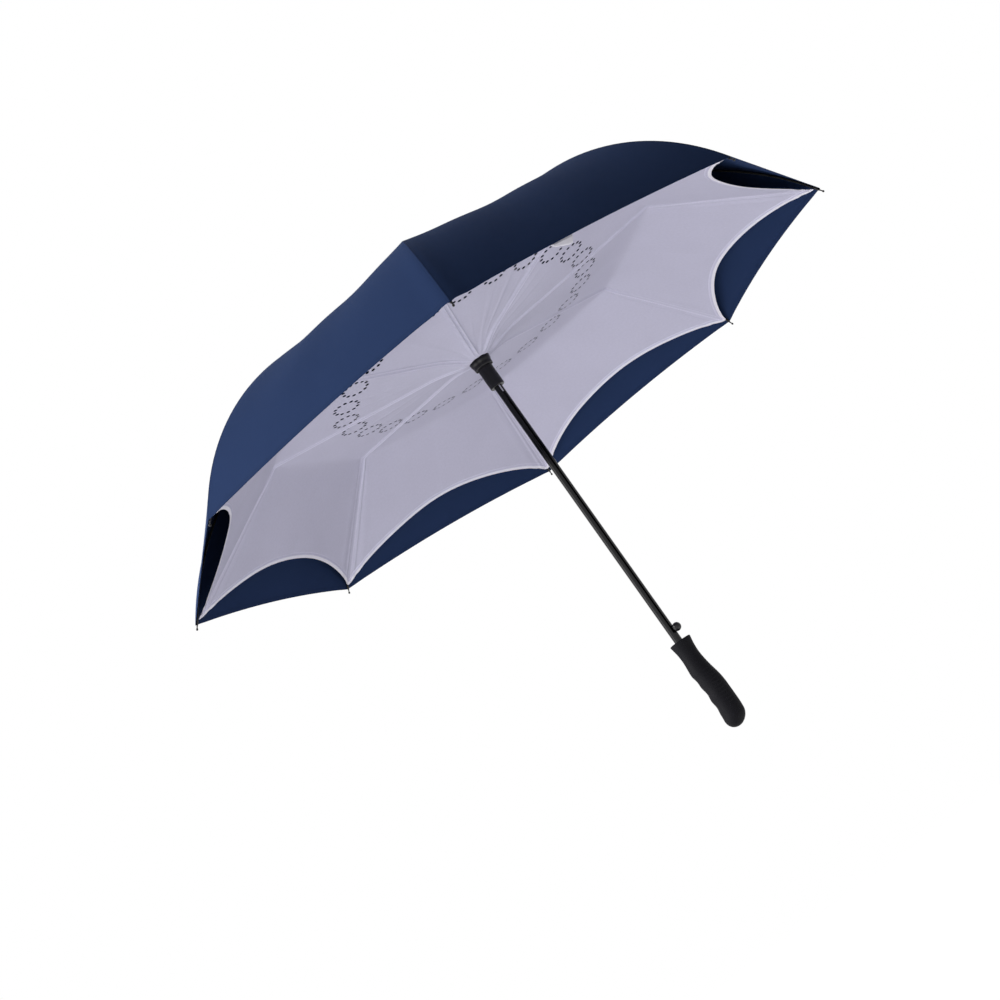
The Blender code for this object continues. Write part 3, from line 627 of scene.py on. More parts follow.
# Creases in the inner cloth: place round the shaft in ribs, half width in ribs, slope, and how far they run
CREASES = (
    (0.17, 0.050, 0.22, 0.25), (0.36, 0.055, 0.26, 0.28), (0.57, 0.060, 0.26, 0.27),
    (0.79, 0.050, 0.22, 0.22), (1.18, 0.060, 0.14, 0.15), (1.45, 0.070, 0.20, 0.25),
    (1.76, 0.050, 0.14, 0.13), (2.24, 0.060, 0.16, 0.16), (2.50, 0.070, 0.30, 0.27),
    (2.70, 0.060, 0.36, 0.29), (2.88, 0.050, 0.30, 0.24), (3.15, 0.055, 0.34, 0.27),
    (3.35, 0.065, 0.30, 0.23), (3.63, 0.070, 0.20, 0.18), (4.26, 0.060, 0.15, 0.14),
    (4.55, 0.070, 0.13, 0.15), (5.31, 0.060, 0.13, 0.12), (5.70, 0.060, 0.15, 0.14),
    (6.21, 0.050, 0.15, 0.15), (6.56, 0.070, 0.16, 0.16), (7.20, 0.060, 0.20, 0.20),
    (7.44, 0.055, 0.22, 0.24), (7.65, 0.050, 0.28, 0.29), (7.86, 0.045, 0.26, 0.27),
)
CREST_SOFTNESS = 0.10
RIDGE_HEIGHT = 0.0026
RIDGE_HALF_WIDTH = 0.0017
RIDGE_BEYOND_KINK = 0.09
# The ridges are whole to a third of the way across a panel, and end halfway
RIDGE_FADE_PACE = 6
RIDGE_FADE_WAIT = 2
SEAM_HEIGHT = 0.0018
SEAM_HALF_WIDTH = 0.0013
SEAM_SIDE = 0.0028
RISE_FROM_COLLAR = 0.02
CREASE_PLAIN_SHARE = 0.35
PLEAT_HEIGHT = 0.0006
PLEAT_WAVES = 38
PLEAT_RADIUS = 0.03
PLEAT_REACH = 0.02
# How far each panel of the inner cloth hangs, from rib 0's round
INNER_SAGS = (0.0035, -0.0060, 0.0020, 0.0035, 0.0035, 0.0035, 0.0035, 0.0035)
KINK_SOFTNESS = 0.0008
KINK_SLACK = 0.0080


def arm_underside(radius):
    """Height of the inner canopy under a rib arm."""
    line = RUNNER_PIVOT.y + (radius - PIVOT_CIRCLE_RADIUS) * math.tan(ARM_SLOPE)
    return line - ARM_TO_FABRIC


# Where the inner canopy's corner is drawn up under a rod
CORNER = on_arc(
    math.asin((CORNER_RADIUS - ARC_CENTRE.x) / ROD_LINE_RADIUS),
    ROD_LINE_RADIUS - ROD_RADIUS - CORNER_BELOW_ROD + CLOTH,
)


def inner_height(place, rib):
    """Height of the inner canopy's upper face over a plan place."""
    radius, share = panel_place(place)
    signed = math.copysign(share, place.y)
    turn = rib + signed
    if radius < COLLAR_FLARE_RADIUS:
        short = (COLLAR_FLARE_RADIUS - radius) / (COLLAR_FLARE_RADIUS - COLLAR_RADIUS)
        lift = 1 - min(short, 1.0) ** COLLAR_FLARE_POWER
        height = (DISC_TOP + GAP + CAD_FABRIC) * (1 - lift) + arm_underside(radius) * lift
    else:
        inward = arm_underside(radius)
        kink = arm_underside(KINK_RADIUS)
        outward = kink + (CORNER.y - kink) * (radius - KINK_RADIUS) / (CORNER.x - KINK_RADIUS)
        softness = KINK_SOFTNESS + KINK_SLACK * bow(share)
        height = (inward + outward - math.hypot(inward - outward, softness)) / 2
    out = (radius - COLLAR_RADIUS) / (KINK_RADIUS - COLLAR_RADIUS)
    sag = INNER_SAGS[math.floor(turn) % RIB_COUNT]
    height -= sag * bow(share) * math.sin(math.pi * min(out, 1.0)) ** 2
    fade_in = ease((radius - COLLAR_RADIUS) / RISE_FROM_COLLAR)
    over_arm = RIDGE_HEIGHT * math.exp(-((place.y + BAR_SIDE) / RIDGE_HALF_WIDTH) ** 2)
    over_seam = SEAM_HEIGHT * math.exp(-((place.y - SEAM_SIDE) / SEAM_HALF_WIDTH) ** 2)
    beside_rib = 1 - ease(share * RIDGE_FADE_PACE - RIDGE_FADE_WAIT)
    height -= (over_arm + over_seam) * fade_in * ridge_fade(radius) * beside_rib
    for crease_turn, width, slope, reach in CREASES:
        off = (turn - crease_turn + RIB_COUNT / 2) % RIB_COUNT - RIB_COUNT / 2
        short = 1 - math.hypot(off / width, CREST_SOFTNESS)
        if short > 0:
            fade = 1 - ease((radius - reach * CREASE_PLAIN_SHARE) / (reach * (1 - CREASE_PLAIN_SHARE)))
            height -= slope * width * RIB_ANGLE * radius / 2 * short * short * fade_in * fade
    by_collar = math.exp(-((radius - PLEAT_RADIUS) / PLEAT_REACH) ** 2)
    height -= PLEAT_HEIGHT * math.cos(PLEAT_WAVES * turn * RIB_ANGLE / 2) * by_collar * fade_in
    return height + inner_pull(radius, share, turn)


def ridge_fade(radius):
    """The ridge dies away beyond the kink."""
    return 1 - ease((radius - KINK_RADIUS) / RIDGE_BEYOND_KINK)


# Two folds beside each rod: place, its shift towards the corner, half width, its growth, and depth
ROD_FOLDS = (
    (0.0050, 0.004, 0.0018, 0.001, 0.0016),
    (0.0110, 0.010, 0.0034, 0.002, 0.0020),
)
FOLD_START_SHARE = 0.12
FOLD_FADE_SHARE = 0.4
WANDER = 0.0009
WANDER_TURNS = 13
WANDER_WAVES = 19
WANDER_START_SHARE = 0.3


def inner_pull(radius, share, turn):
    """Folds that run from the kink to the corner, beside the rib line."""
    if radius < KINK_RADIUS:
        return 0.0
    down = (radius - KINK_RADIUS) / (CORNER_RADIUS - KINK_RADIUS)
    off = share * RIB_ANGLE * radius
    depth = 0
    for place, shift, width, growth, deepest in ROD_FOLDS:
        depth += math.exp(-((off - place - shift * down) / (width + growth * down)) ** 2) * deepest
    depth *= ease(down / FOLD_START_SHARE) * (1 - FOLD_FADE_SHARE * down)
    wander = WANDER * bow(share) * math.cos(WANDER_TURNS * turn * RIB_ANGLE + WANDER_WAVES * radius)
    return ease(down / WANDER_START_SHARE) * wander - depth


POCKET_ROUND = 0.0022
POCKET_SHARE = 0.0135


def inner_hem(share):
    """How far out the scalloped hem lies."""
    beside = min(share / POCKET_SHARE, 1.0)
    beyond = max(share - POCKET_SHARE, 0.0) / (1 - 2 * POCKET_SHARE)
    return CORNER_RADIUS - POCKET_ROUND * beside ** 2 - SCALLOP_DEPTH * bow(beyond) ** SCALLOP_POWER


# How far out the inner canopy's cloths meet
COLLAR_END = 0.034
INNER_SPLIT = 0.100
INNER_PIN_LINE = KINK_RADIUS - 0.0115
HEM_STEP = 0.006
# How many steps each cloth takes across half a panel, and the lines that follow the ribs' ridges
FAN_SHARES = [step / 2 / 14 for step in range(15)]
RIDGE_LINES = (0.0009, 0.0019, 0.0029, 0.0040, 0.0055, 0.0075, 0.0100)
RIDGE_LINES_SHARE = 0.85
FAN_CLEARANCE = 0.0012


def across_row(radius):
    """Plan places of a row of vertices from the seam on one side of the rib to the other."""
    half = radius * math.sin(RIB_ANGLE) / 2
    steps = [value for value in RIDGE_LINES if value < half * RIDGE_LINES_SHARE]
    last = steps[-1] if steps else 0.0
    fan = [share * 2 * half for share in FAN_SHARES if share * 2 * half > last + FAN_CLEARANCE]
    reaches = [0.0, *steps, *fan]
    reaches[-1] = half
    roundness = 1 - ease((radius - COLLAR_RADIUS) / (COLLAR_END - COLLAR_RADIUS))
    places = []
    for reach in reaches:
        place = Vector((radius - reach * math.tan(HALF_PANEL), reach))
        places.append(place * (1 + roundness * (radius / place.length - 1)))
    mirrored = [Vector((p.x, -p.y)) for p in reversed(places[1:])]
    return mirrored + places


VENT_RING_RADIUS = 0.201
VENT_CIRCLE_RADIUS = 0.0175
VENT_HOLE_RADIUS = 0.0028
VENT_HOLES = 12
HOLE_SIDES = 12
IN_HOLE_SHARE = 0.94
VENT_ANGLES = [HALF_PANEL * step / 3 for step in (-3, -1, 1, 3)]


def vent_holes():
    """Centres of the punched holes on one rib's sector, in plan."""
    centres = []
    for angle in VENT_ANGLES:
        middle = VENT_RING_RADIUS * Vector((math.cos(angle), math.sin(angle)))
        for step in range(VENT_HOLES):
            around = angle + math.tau * (step + 0.5) / VENT_HOLES
            centre = middle + VENT_CIRCLE_RADIUS * Vector((math.cos(around), math.sin(around)))
            if abs(math.atan2(centre.y, centre.x)) < HALF_PANEL:
                centres.append(centre)
    return centres


INSIDE_OUTLINE = 1
TIED_REACH = 0.0056
TIE_DIGITS = 6
HOLE_CLEARANCE = 1.35


def plan_mesh(rows, holes=()):
    """Places and triangles over a plan of rows, with round holes."""
    points = []
    edges = []
    row_starts = []
    for row in rows:
        row_starts.append(len(points))
        points += row
    counts = [len(row) for row in rows]
    edges += [(row_starts[0] + i, row_starts[0] + i + 1) for i in range(counts[0] - 1)]
    edges += [(row_starts[-1] + i, row_starts[-1] + i + 1) for i in range(counts[-1] - 1)]
    for row in range(len(rows) - 1):
        edges.append((row_starts[row], row_starts[row + 1]))
        ends = (row_starts[row] + counts[row] - 1, row_starts[row + 1] + counts[row + 1] - 1)
        edges.append(ends)
        next_row = enumerate(rows[row + 1], row_starts[row + 1])
        beyond = {round(point.y, TIE_DIGITS): index for index, point in next_row}
        for index, point in enumerate(rows[row][1:-1], row_starts[row] + 1):
            side = round(point.y, TIE_DIGITS)
            if abs(point.y) < TIED_REACH and side in beyond:
                edges.append((index, beyond[side]))
    keep_out = VENT_HOLE_RADIUS * HOLE_CLEARANCE
    kept = []
    renumber = {}
    edge_points = {index for edge in edges for index in edge}
    for index, point in enumerate(points):
        if index not in edge_points and any((point - hole).length < keep_out for hole in holes):
            continue
        renumber[index] = len(kept)
        kept.append(point)
    edges = [(renumber[a], renumber[b]) for a, b in edges]
    for hole in holes:
        start = len(kept)
        kept += eye(hole, VENT_HOLE_RADIUS, HOLE_SIDES)
        edges += [(start + i, start + (i + 1) % HOLE_SIDES) for i in range(HOLE_SIDES)]
    places, _, faces, *_ = delaunay_2d_cdt(kept, edges, [], INSIDE_OUTLINE, MERGE_DISTANCE)
    return places, faces


def sheet_piece(name, body, look, places, faces, height, rib, hem=None):
    """A cloth of two faces and its edges, from plan triangles and a height over them."""
    spin = Matrix.Rotation(rib * RIB_ANGLE, 3, "Z")
    top = [spin @ Vector((p.x, p.y, height(p, rib))) for p in places]
    low = [point - Vector((0, 0, CLOTH)) for point in top]
    count = len(places)
    upper = [tuple(face) for face in faces]
    sides = {}
    for face in upper:
        for a, b in zip(face, face[1:] + face[:1]):
            sides[(a, b)] = sides.get((b, a), None) is None
            if (b, a) in sides:
                sides[(a, b)] = sides[(b, a)] = False
    walls = [(b, a, a + count, b + count) for (a, b), open_side in sides.items() if open_side]
    under = [tuple(index + count for index in reversed(face)) for face in upper]
    mesh = bpy.data.meshes.new(name)
    mesh.from_pydata(top + low, [], upper + under + walls)
    mesh.update()
    map_cloth(mesh, places + places, rib, hem)
    facing = [spin @ facing_of(height, place, rib) for place in places]
    return finish_sheet(name, mesh, look, body, facing + [-normal for normal in facing])


WEAVE_SHIFT = 0.137


def map_cloth(mesh, plan, rib, hem):
    """Two maps in metres: the weave, square to each panel, and the distances from the rib and the hem."""
    weave = mesh.uv_layers.new(name="cloth")
    edges = mesh.uv_layers.new(name="edges")
    for polygon in mesh.polygons:
        middle = sum((plan[index].y for index in polygon.vertices)) / len(polygon.vertices)
        turn = math.copysign(HALF_PANEL, middle)
        for loop in polygon.loop_indices:
            place = plan[mesh.loops[loop].vertex_index]
            across = place.y * math.cos(turn) - place.x * math.sin(turn)
            along = place.x * math.cos(turn) + place.y * math.sin(turn)
            weave.data[loop].uv = (across + rib * WEAVE_SHIFT, along)
            radius, share = panel_place(place) if place.x > 0 else (0.0, 0.0)
            edges.data[loop].uv = (place.y, hem(radius, share) if hem else 1.0)


PROBE = 0.0004


def facing_of(height, place, rib):
    """Way that a height's surface faces at a plan place, so that cloths which meet are lit alike."""
    slope = []
    for step in (Vector((PROBE, 0)), Vector((0, PROBE))):
        slope.append((height(place + step, rib) - height(place - step, rib)) / (2 * PROBE))
    return Vector((-slope[0], -slope[1], 1)).normalized()


RIDGE_ANGLE = math.radians(14)


def finish_sheet(name, mesh, look, body, facing=None):
    """Shade a cloth by the ways it faces, or else smoothly up to its ridges."""
    mesh.shade_smooth()
    if facing:
        mesh.normals_split_custom_set_from_vertices(facing)
    else:
        mesh.set_sharp_from_angle(angle=RIDGE_ANGLE)
    return place_piece(name, mesh, look, body)


def grid_sheet(name, body, look, top, low, plan, rib, hem=None, facing=None):
    """A cloth from two grids of points."""
    rows, columns = len(top), len(top[0])
    flat = [point for row in top for point in row] + [point for row in low for point in row]
    count = rows * columns
    faces = []
    for row in range(rows - 1):
        for column in range(columns - 1):
            a = row * columns + column
            quad = (a, a + columns, a + columns + 1, a + 1)
            faces.append(quad)
            faces.append(tuple(index + count for index in reversed(quad)))
    rim = [(0, c) for c in range(columns)] + [(r, columns - 1) for r in range(1, rows)]
    rim += [(rows - 1, c) for c in range(columns - 2, -1, -1)] + [(r, 0) for r in range(rows - 2, 0, -1)]
    loop = [row * columns + column for row, column in rim]
    for a, b in zip(loop, loop[1:] + loop[:1]):
        faces.append((a, b, b + count, a + count))
    mesh = bpy.data.meshes.new(name)
    mesh.from_pydata(flat, [], faces)
    mesh.update()
    map_cloth(mesh, plan + plan, rib, hem)
    return finish_sheet(name, mesh, look, body, facing)


def fold(piece):
    """Give a cloth its own copy of its mesh."""
    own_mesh(piece)


def row_radii(start, end, step):
    """Even distances out along the ribs, about a step apart."""
    count = max(2, round((end - start) / step))
    return [start + (end - start) * index / count for index in range(count + 1)]


def hem_lean(share):
    """How much of a step out along the ribs crosses the scalloped hem."""
    near = max(share - HEM_STEP, 0.0)
    tangent = chord(inner_hem(share + HEM_STEP), share + HEM_STEP) - chord(inner_hem(near), near)
    return abs(tangent.normalized().cross(chord(1, share)))


def inner_hem_distance(radius, share):
    """Distance from the scalloped hem, square to it."""
    return max((inner_hem(share) - radius) * hem_lean(share), 0.0)


# How far apart the rows of each white cloth are, and how much of its width is left when it folds
COLLAR_ROW_STEP = 0.0022
NEAR_ROW_STEP = 0.0045
FAR_ROW_STEP = 0.0075
NEAR_KEEP = 0.50
FAR_KEEP = 0.29
GORE_KEEP = 0.25


def white_sheet(name, body, rows, rib, holes=()):
    """A white cloth of one rib, from its rows and punched holes."""
    places, faces = plan_mesh(rows, holes)
    if holes:
        faces = [face for face in faces if not in_hole([places[i] for i in face], holes)]
    return sheet_piece(f"{name}_{rib}", body, "white_fabric", places, faces, inner_height, rib)


def blend_collar(collar):
    """Bake a collar's placement into its mesh."""
    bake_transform(collar)


def make_inner_canopy():
    """White canopy: four cloths for each rib, which meet along its seams."""
    holes = vent_holes()
    collar_rows = [across_row(radius) for radius in row_radii(COLLAR_RADIUS, COLLAR_END, COLLAR_ROW_STEP)]
    near_rows = [across_row(radius) for radius in row_radii(COLLAR_END, INNER_SPLIT, NEAR_ROW_STEP)]
    far_rows = [across_row(radius) for radius in row_radii(INNER_SPLIT, INNER_PIN_LINE, FAR_ROW_STEP)]
    hem_rows = gore_rows()
    for rib in range(RIB_COUNT):
        arm = f"arm_{rib}"
        collar = white_sheet("inner_collar", None, collar_rows, rib)
        near = white_sheet("inner_near", arm, near_rows, rib)
        far = white_sheet("inner_far", arm, far_rows, rib, holes)
        gore = inner_gore(rib, hem_rows)
        blend_collar(collar)
        folded = ((near, "arm", NEAR_KEEP), (far, "arm", FAR_KEEP), (gore, "rod", GORE_KEEP))
        for piece, joint, keep in folded:
            fold(piece)
        if rib == 0:
            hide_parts("inner_centre")
        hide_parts(f"inner_gore_{rib}")


# Rows of the cloth beyond the arms' ends: past the kink, over the panel, then from the hem inwards
PAST_KINK = (-0.0115, -0.0085, -0.0055, -0.0028, -0.0010, 0.0010, 0.0030, 0.0060, 0.0110, 0.0190)
PANEL_ROWS = 13
FROM_HEM = (0.0120, 0.0085, 0.0072, 0.0066, 0.0061, 0.0035, 0.0012, 0.0)


def gore_rows():
    """Rows of vertices from the kink to the scalloped hem."""
    shares = []
    for place in across_row(INNER_PIN_LINE):
        shares.append(math.copysign(panel_place(place)[1], place.y))
    rows = [[chord(KINK_RADIUS + past, share) for share in shares] for past in PAST_KINK]
    first = KINK_RADIUS + PAST_KINK[-1]
    for step in range(1, PANEL_ROWS + 1):
        row = []
        for share in shares:
            last = from_inner_hem(share, FROM_HEM[0])
            row.append(chord(first + (last - first) * step / PANEL_ROWS, share))
        rows.append(row)
    for distance in FROM_HEM[1:]:
        rows.append([chord(from_inner_hem(share, distance), share) for share in shares])
    return rows


def from_inner_hem(share, distance):
    """How far out a line runs that keeps a distance from the scalloped hem."""
    side = abs(share)
    return inner_hem(side) - distance / hem_lean(side)


def in_hole(corners, holes):
    """Whether a triangle fills one of the punched holes."""
    middle = sum(corners, Vector((0, 0))) / len(corners)
    return any((middle - hole).length < VENT_HOLE_RADIUS * IN_HOLE_SHARE for hole in holes)


BINDING_WIDTH = 0.0066
BINDING_THICKNESS = 0.0007
BINDING_EDGE = 0.0005


def gore_underside(place, rib):
    """Height of the white cloth's lower face, which a folded hem makes thicker."""
    radius, share = panel_place(place)
    distance = inner_hem_distance(radius, share)
    hem = BINDING_THICKNESS * (1 - ease((distance - BINDING_WIDTH + BINDING_EDGE) / BINDING_EDGE))
    return inner_height(place, rib) - CLOTH - hem


def inner_gore(rib, rows):
    """The white cloth from the kink to the tip, with its folded hem."""
    spin = Matrix.Rotation(rib * RIB_ANGLE, 3, "Z")
    plan = [place for row in rows for place in row]
    top = [[spin @ Vector((p.x, p.y, inner_height(p, rib))) for p in row] for row in rows]
    low = [[spin @ Vector((p.x, p.y, gore_underside(p, rib))) for p in row] for row in rows]
    facing = [spin @ facing_of(inner_height, place, rib) for place in plan]
    facing += [-(spin @ facing_of(gore_underside, place, rib)) for place in plan]
    return grid_sheet(
        f"inner_cloth_{rib}", f"rod_{rib}", "white_fabric", top, low, plan, rib, inner_hem_distance, facing)


OUTER_STEPS = 22
CENTRE_STEPS = 18
OUTER_SHARES = (
    0.0, 0.006, 0.016, 0.032, 0.055, 0.08, 0.11, 0.145, 0.185, 0.23, 0.275, 0.32, 0.365, 0.41, 0.455, 0.5,
)
OUTER_COLLAR_SHARE = 0.085
OUTER_COLLAR_STEPS = 5
OUTER_HEM_LEVELS = [1.968, 1.974, 1.982, 1.992, 2.0]
OUTER_HEM_TURN = 1.96
HEM_DOUBLING = 0.02
HEM_DOUBLING_START = 0.6
LEAST_LENGTH = 0.004


def outer_rows(start, end, steps):
    """Even levels of the outer canopy."""
    return [start + (end - start) * step / steps for step in range(steps + 1)]


def outer_cloth(name, rib, levels, body):
    """Outer canopy cloth between two levels, from mid panel to mid panel."""
    spin = Matrix.Rotation(rib * RIB_ANGLE, 3, "Z")
    mirrored_shares = [-share for share in reversed(OUTER_SHARES[1:])] + list(OUTER_SHARES)
    top = []
    low = []
    plan = []
    for along in levels:
        top_row = []
        low_row = []
        for share in mirrored_shares:
            in_hem = 1 - ease((2 - along) / HEM_DOUBLING - HEM_DOUBLING_START)
            above = outer_point(along, share, 0, rib)
            below = outer_point(along, share, CLOTH * (1 + in_hem), rib)
            top_row.append(spin @ above)
            low_row.append(spin @ below)
            length = BEND.x * min(along, 1) + max(along - 1, 0) * ARC_LENGTH
            plan.append(chord(max(length, LEAST_LENGTH), share))
        top.append(top_row)
        low.append(low_row)
    return grid_sheet(name, body, "navy_fabric", top, low, plan, rib, outer_hem_distance)


def outer_hem_distance(radius, _share):
    """Distance from the outer hem, along the cloth."""
    return max(BEND.x + ARC_LENGTH - radius, 0.0)


def make_outer_canopy():
    """Navy canopy: three cloths for each rib, which meet along its seams."""
    hem_levels = outer_rows(1, OUTER_HEM_TURN, OUTER_STEPS) + OUTER_HEM_LEVELS
    collar_levels = outer_rows(0, OUTER_COLLAR_SHARE, OUTER_COLLAR_STEPS)
    centre_levels = outer_rows(OUTER_COLLAR_SHARE, 1, CENTRE_STEPS)
    for rib in range(RIB_COUNT):
        strut = f"strut_{rib}"
        collar = outer_cloth(f"outer_collar_{rib}", rib, collar_levels, None)
        centre = outer_cloth(f"outer_centre_{rib}", rib, centre_levels, strut)
        gore = outer_cloth(f"outer_cloth_{rib}", rib, hem_levels, f"rod_{rib}")
        blend_collar(collar)
        fold(centre)
        fold(gore)
        if rib == 0:
            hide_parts("outer_centre")
        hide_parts(f"outer_gore_{rib}")


make_inner_canopy()
make_outer_canopy()

# Closure strap, as in the part's source
STRAP_RIB = 2
STRAP_SHARE = 0.39
STRAP_WIDTH = 0.031
STRAP_LENGTH = 0.055
STRAP_HANG = 0.0100
STRAP_SLANT = 0.15
STRAP_INSET = 0.0016
STRAP_THICKNESS = 0.0010
STRAP_TURN_UP = 0.0010
STRAP_ROWS = 14
STRAP_HALF_COLUMNS = 6
STRAP_SQUARE_COLUMNS = 4
STRAP_SQUARE_ROWS = 11
STRAP_CORNER_ROUND = 0.002
STRAP_RIM_COLUMNS = 5
STRAP_RIM_ROWS = 13
STRAP_RIM = 0.35
WEAVE_START = 0.05
# Way that gravity pulls in the photo, in the frame of the strap's rib
STRAP_FALL = Vector((-0.199, -0.574, -0.794))


def strap_point(past_hem, share, depth):
    """Point of the strap, inside the canopy above the hem and hanging below it."""
    on_canopy = outer_point(2 + min(past_hem / ARC_LENGTH, 0), share, depth, STRAP_RIB)
    return on_canopy + max(past_hem, 0) * STRAP_FALL


def strap_as_binding(_radius, _share):
    """The strap is a folded hem all over, so it takes the paler binding colour everywhere; that paler colour
    is partly painted light, for the light the strap catches.
    """
    return 0.0


def make_strap():
    """White strap with a rounded free end and a raised rim."""
    half_share = STRAP_WIDTH / (2 * TIP_RADIUS * math.sin(HALF_PANEL)) / 2
    spin = Matrix.Rotation(STRAP_RIB * RIB_ANGLE, 3, "Z")
    square = STRAP_HALF_COLUMNS - STRAP_SQUARE_COLUMNS
    top = []
    low = []
    plan = []
    for row in range(STRAP_ROWS + 1):
        past_hem = STRAP_HANG - STRAP_LENGTH * (1 - row / STRAP_ROWS)
        top_row = []
        low_row = []
        for column in range(-STRAP_HALF_COLUMNS, STRAP_HALF_COLUMNS + 1):
            corner = max(abs(column) - STRAP_SQUARE_COLUMNS, 0) / square
            corner *= ease((row - STRAP_SQUARE_ROWS) / (STRAP_ROWS - STRAP_SQUARE_ROWS))
            across = (column + STRAP_HALF_COLUMNS) / (2 * STRAP_HALF_COLUMNS)
            slant = STRAP_SLANT + (1 - STRAP_SLANT) * across
            reach = min(past_hem, 0) + max(past_hem, 0) * slant - corner * STRAP_CORNER_ROUND
            share = STRAP_SHARE + column / STRAP_HALF_COLUMNS * half_share
            in_rim = abs(column) >= STRAP_RIM_COLUMNS or row >= STRAP_RIM_ROWS
            rim = STRAP_RIM if in_rim else 0.0
            top_row.append(spin @ strap_point(reach, share, STRAP_INSET - rim * STRAP_TURN_UP))
            low_row.append(spin @ strap_point(reach, share, STRAP_INSET + STRAP_THICKNESS * (1 + rim)))
            plan.append(Vector((WEAVE_START + reach + STRAP_LENGTH, STRAP_WIDTH * (across + 0.5))))
        top.append(top_row)
        low.append(low_row)
    body = f"rod_{STRAP_RIB}"
    # The strap's paler binding colour is partly painted light
    strap = grid_sheet("closure_tab", body, "white_fabric", top, low, plan, STRAP_RIB, strap_as_binding)
    fold(strap)
    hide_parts("closure_strap")


make_strap()

# Ribs, each with a channelled arm and strut, and a round rod with its bracket and tip
BAR_WIDTH = 0.0030
BAR_HALF_HEIGHT = 0.0022
PIN_RADIUS = 0.0010
RIVET_RADIUS = 0.0020
BRACKET_HALF_WIDTH = 0.0026
TOE_HALF_WIDTH = 0.0018
TOE_SHORT = 0.0030
BRACKET_HALF_THICKNESS = 0.0012
TOE_HALF_THICKNESS = 0.0010
RIVET_HEAD = 0.0006
CHANNEL_WALL = 0.0006
CHANNEL_INSET = 0.006
CHANNEL_SHARE = 0.52
ROD_STEPS = 28
ROD_SIDES = 12
TIP_SIDES = 14
# Tip along the rod from its end, as distances and radii: ferrule, neck and ball
TIP_STATIONS = (
    (-0.0100, 0.00160), (-0.0094, 0.0017), (-0.0030, 0.0017), (-0.0008, 0.0011), (0.0038, 0.0008),
    (0.0044, 0.0012), (0.0051, 0.0015), (0.0059, 0.0016), (0.0068, 0.0013), (0.0074, 0.0005),
)


def channel_bar(name, start, end, side, body, rib, replaced):
    """Bar with a pressed groove along each side and an eyelet at each end."""
    bm = bmesh.new()
    half = BAR_WIDTH / 2
    along = (end - start).normalized()
    inset = CHANNEL_INSET * along
    outline = capsule(start, end, BAR_HALF_HEIGHT)
    holes = [eye(start, PIN_RADIUS + GAP), eye(end, PIN_RADIUS + GAP)]
    plate(bm, [outline, *holes], side - half + CHANNEL_WALL, side + half - CHANNEL_WALL)
    groove = capsule(start + inset, end - inset, BAR_HALF_HEIGHT * CHANNEL_SHARE)
    plate(bm, [outline, groove, *holes], side - half, side - half + CHANNEL_WALL)
    plate(bm, [outline, groove, *holes], side + half - CHANNEL_WALL, side + half)
    piece_from(name, bm, "steel", body, (replaced,), rib * RIB_ANGLE)


def rod_path():
    """Rod's middle line, from its bracket to its tip."""
    start = on_arc(ARC_START, ROD_LINE_RADIUS)
    back = Vector((-math.cos(ARC_START), math.sin(ARC_START)))
    points = [start + BRACKET_HALF_WIDTH * back]
    for step in range(ROD_STEPS + 1):
        points.append(on_arc(ARC_START + (ARC_END - ARC_START) * step / ROD_STEPS, ROD_LINE_RADIUS))
    return points


def make_rib(rib):
    """One rib: arm, strut, rod, tip and the bracket that joins them."""
    body = f"rod_{rib}"
    turn = rib * RIB_ANGLE
    channel_bar(f"arm_channel_{rib}", RUNNER_PIVOT, ARM_PIN, -BAR_SIDE, f"arm_{rib}", rib, f"rib_arm_{rib}")
    channel_bar(f"strut_channel_{rib}", CROWN_PIVOT, STRUT_PIN, BAR_SIDE, f"strut_{rib}", rib, f"strut_{rib}")
    bm = bmesh.new()
    path = rod_path()
    sweep(bm, path, ROD_RADIUS, ROD_SIDES)
    piece_from(f"rod_{rib}_fibre", bm, "glass_fibre", body, (f"rib_rod_{rib}",), turn)
    bm = bmesh.new()
    along = (path[-1] - path[-2]).normalized()
    places = [path[-1] + along * reach for reach, _ in TIP_STATIONS]
    sweep(bm, places, [radius for _, radius in TIP_STATIONS], TIP_SIDES)
    piece_from(f"rod_{rib}_tip", bm, "black_plastic", body, (), turn)
    bm = bmesh.new()
    half = BRACKET_HALF_THICKNESS
    plate(bm, [capsule(ARM_PIN, STRUT_PIN, BRACKET_HALF_WIDTH)], -half, half)
    toe_end = ARM_PIN + (KINK_RADIUS - TOE_SHORT - ARM_PIN.x) * Vector((1, math.tan(ARM_SLOPE)))
    plate(bm, [capsule(ARM_PIN, toe_end, TOE_HALF_WIDTH)], -TOE_HALF_THICKNESS, TOE_HALF_THICKNESS)
    pin_end = -BAR_SIDE - BAR_WIDTH / 2 - GAP
    plate(bm, [eye(ARM_PIN, PIN_RADIUS)], pin_end - GAP, 0)
    plate(bm, [eye(ARM_PIN, RIVET_RADIUS)], pin_end - RIVET_HEAD, pin_end)
    plate(bm, [eye(STRUT_PIN, RIVET_RADIUS)], 0, BAR_SIDE - BAR_WIDTH / 2 - GAP)
    piece_from(f"rod_{rib}_bracket", bm, "black_plastic", body, (), turn)


for rib_number in range(RIB_COUNT):
    make_rib(rib_number)


# Runner with its flared disc, and the crown's cap

# Disc's outline and knobs, as (radius, height over its foot)
DISC_OUTLINE = (
    (0.0135, 0.0), (0.0142, 0.0012), (0.0144, 0.0055), (0.0153, 0.0082), (0.0157, 0.0095),
    (0.0157, DISC_HEIGHT),
)
DISC_ROUNDING = 0.0006
KNOB_OUTLINE = ((0.0001, -0.0012), (0.0012, -0.0012), (0.0019, -0.0006), (0.0021, 0.001))
KNOB_PLACE = 0.0119
KNOB_SIDES = 20


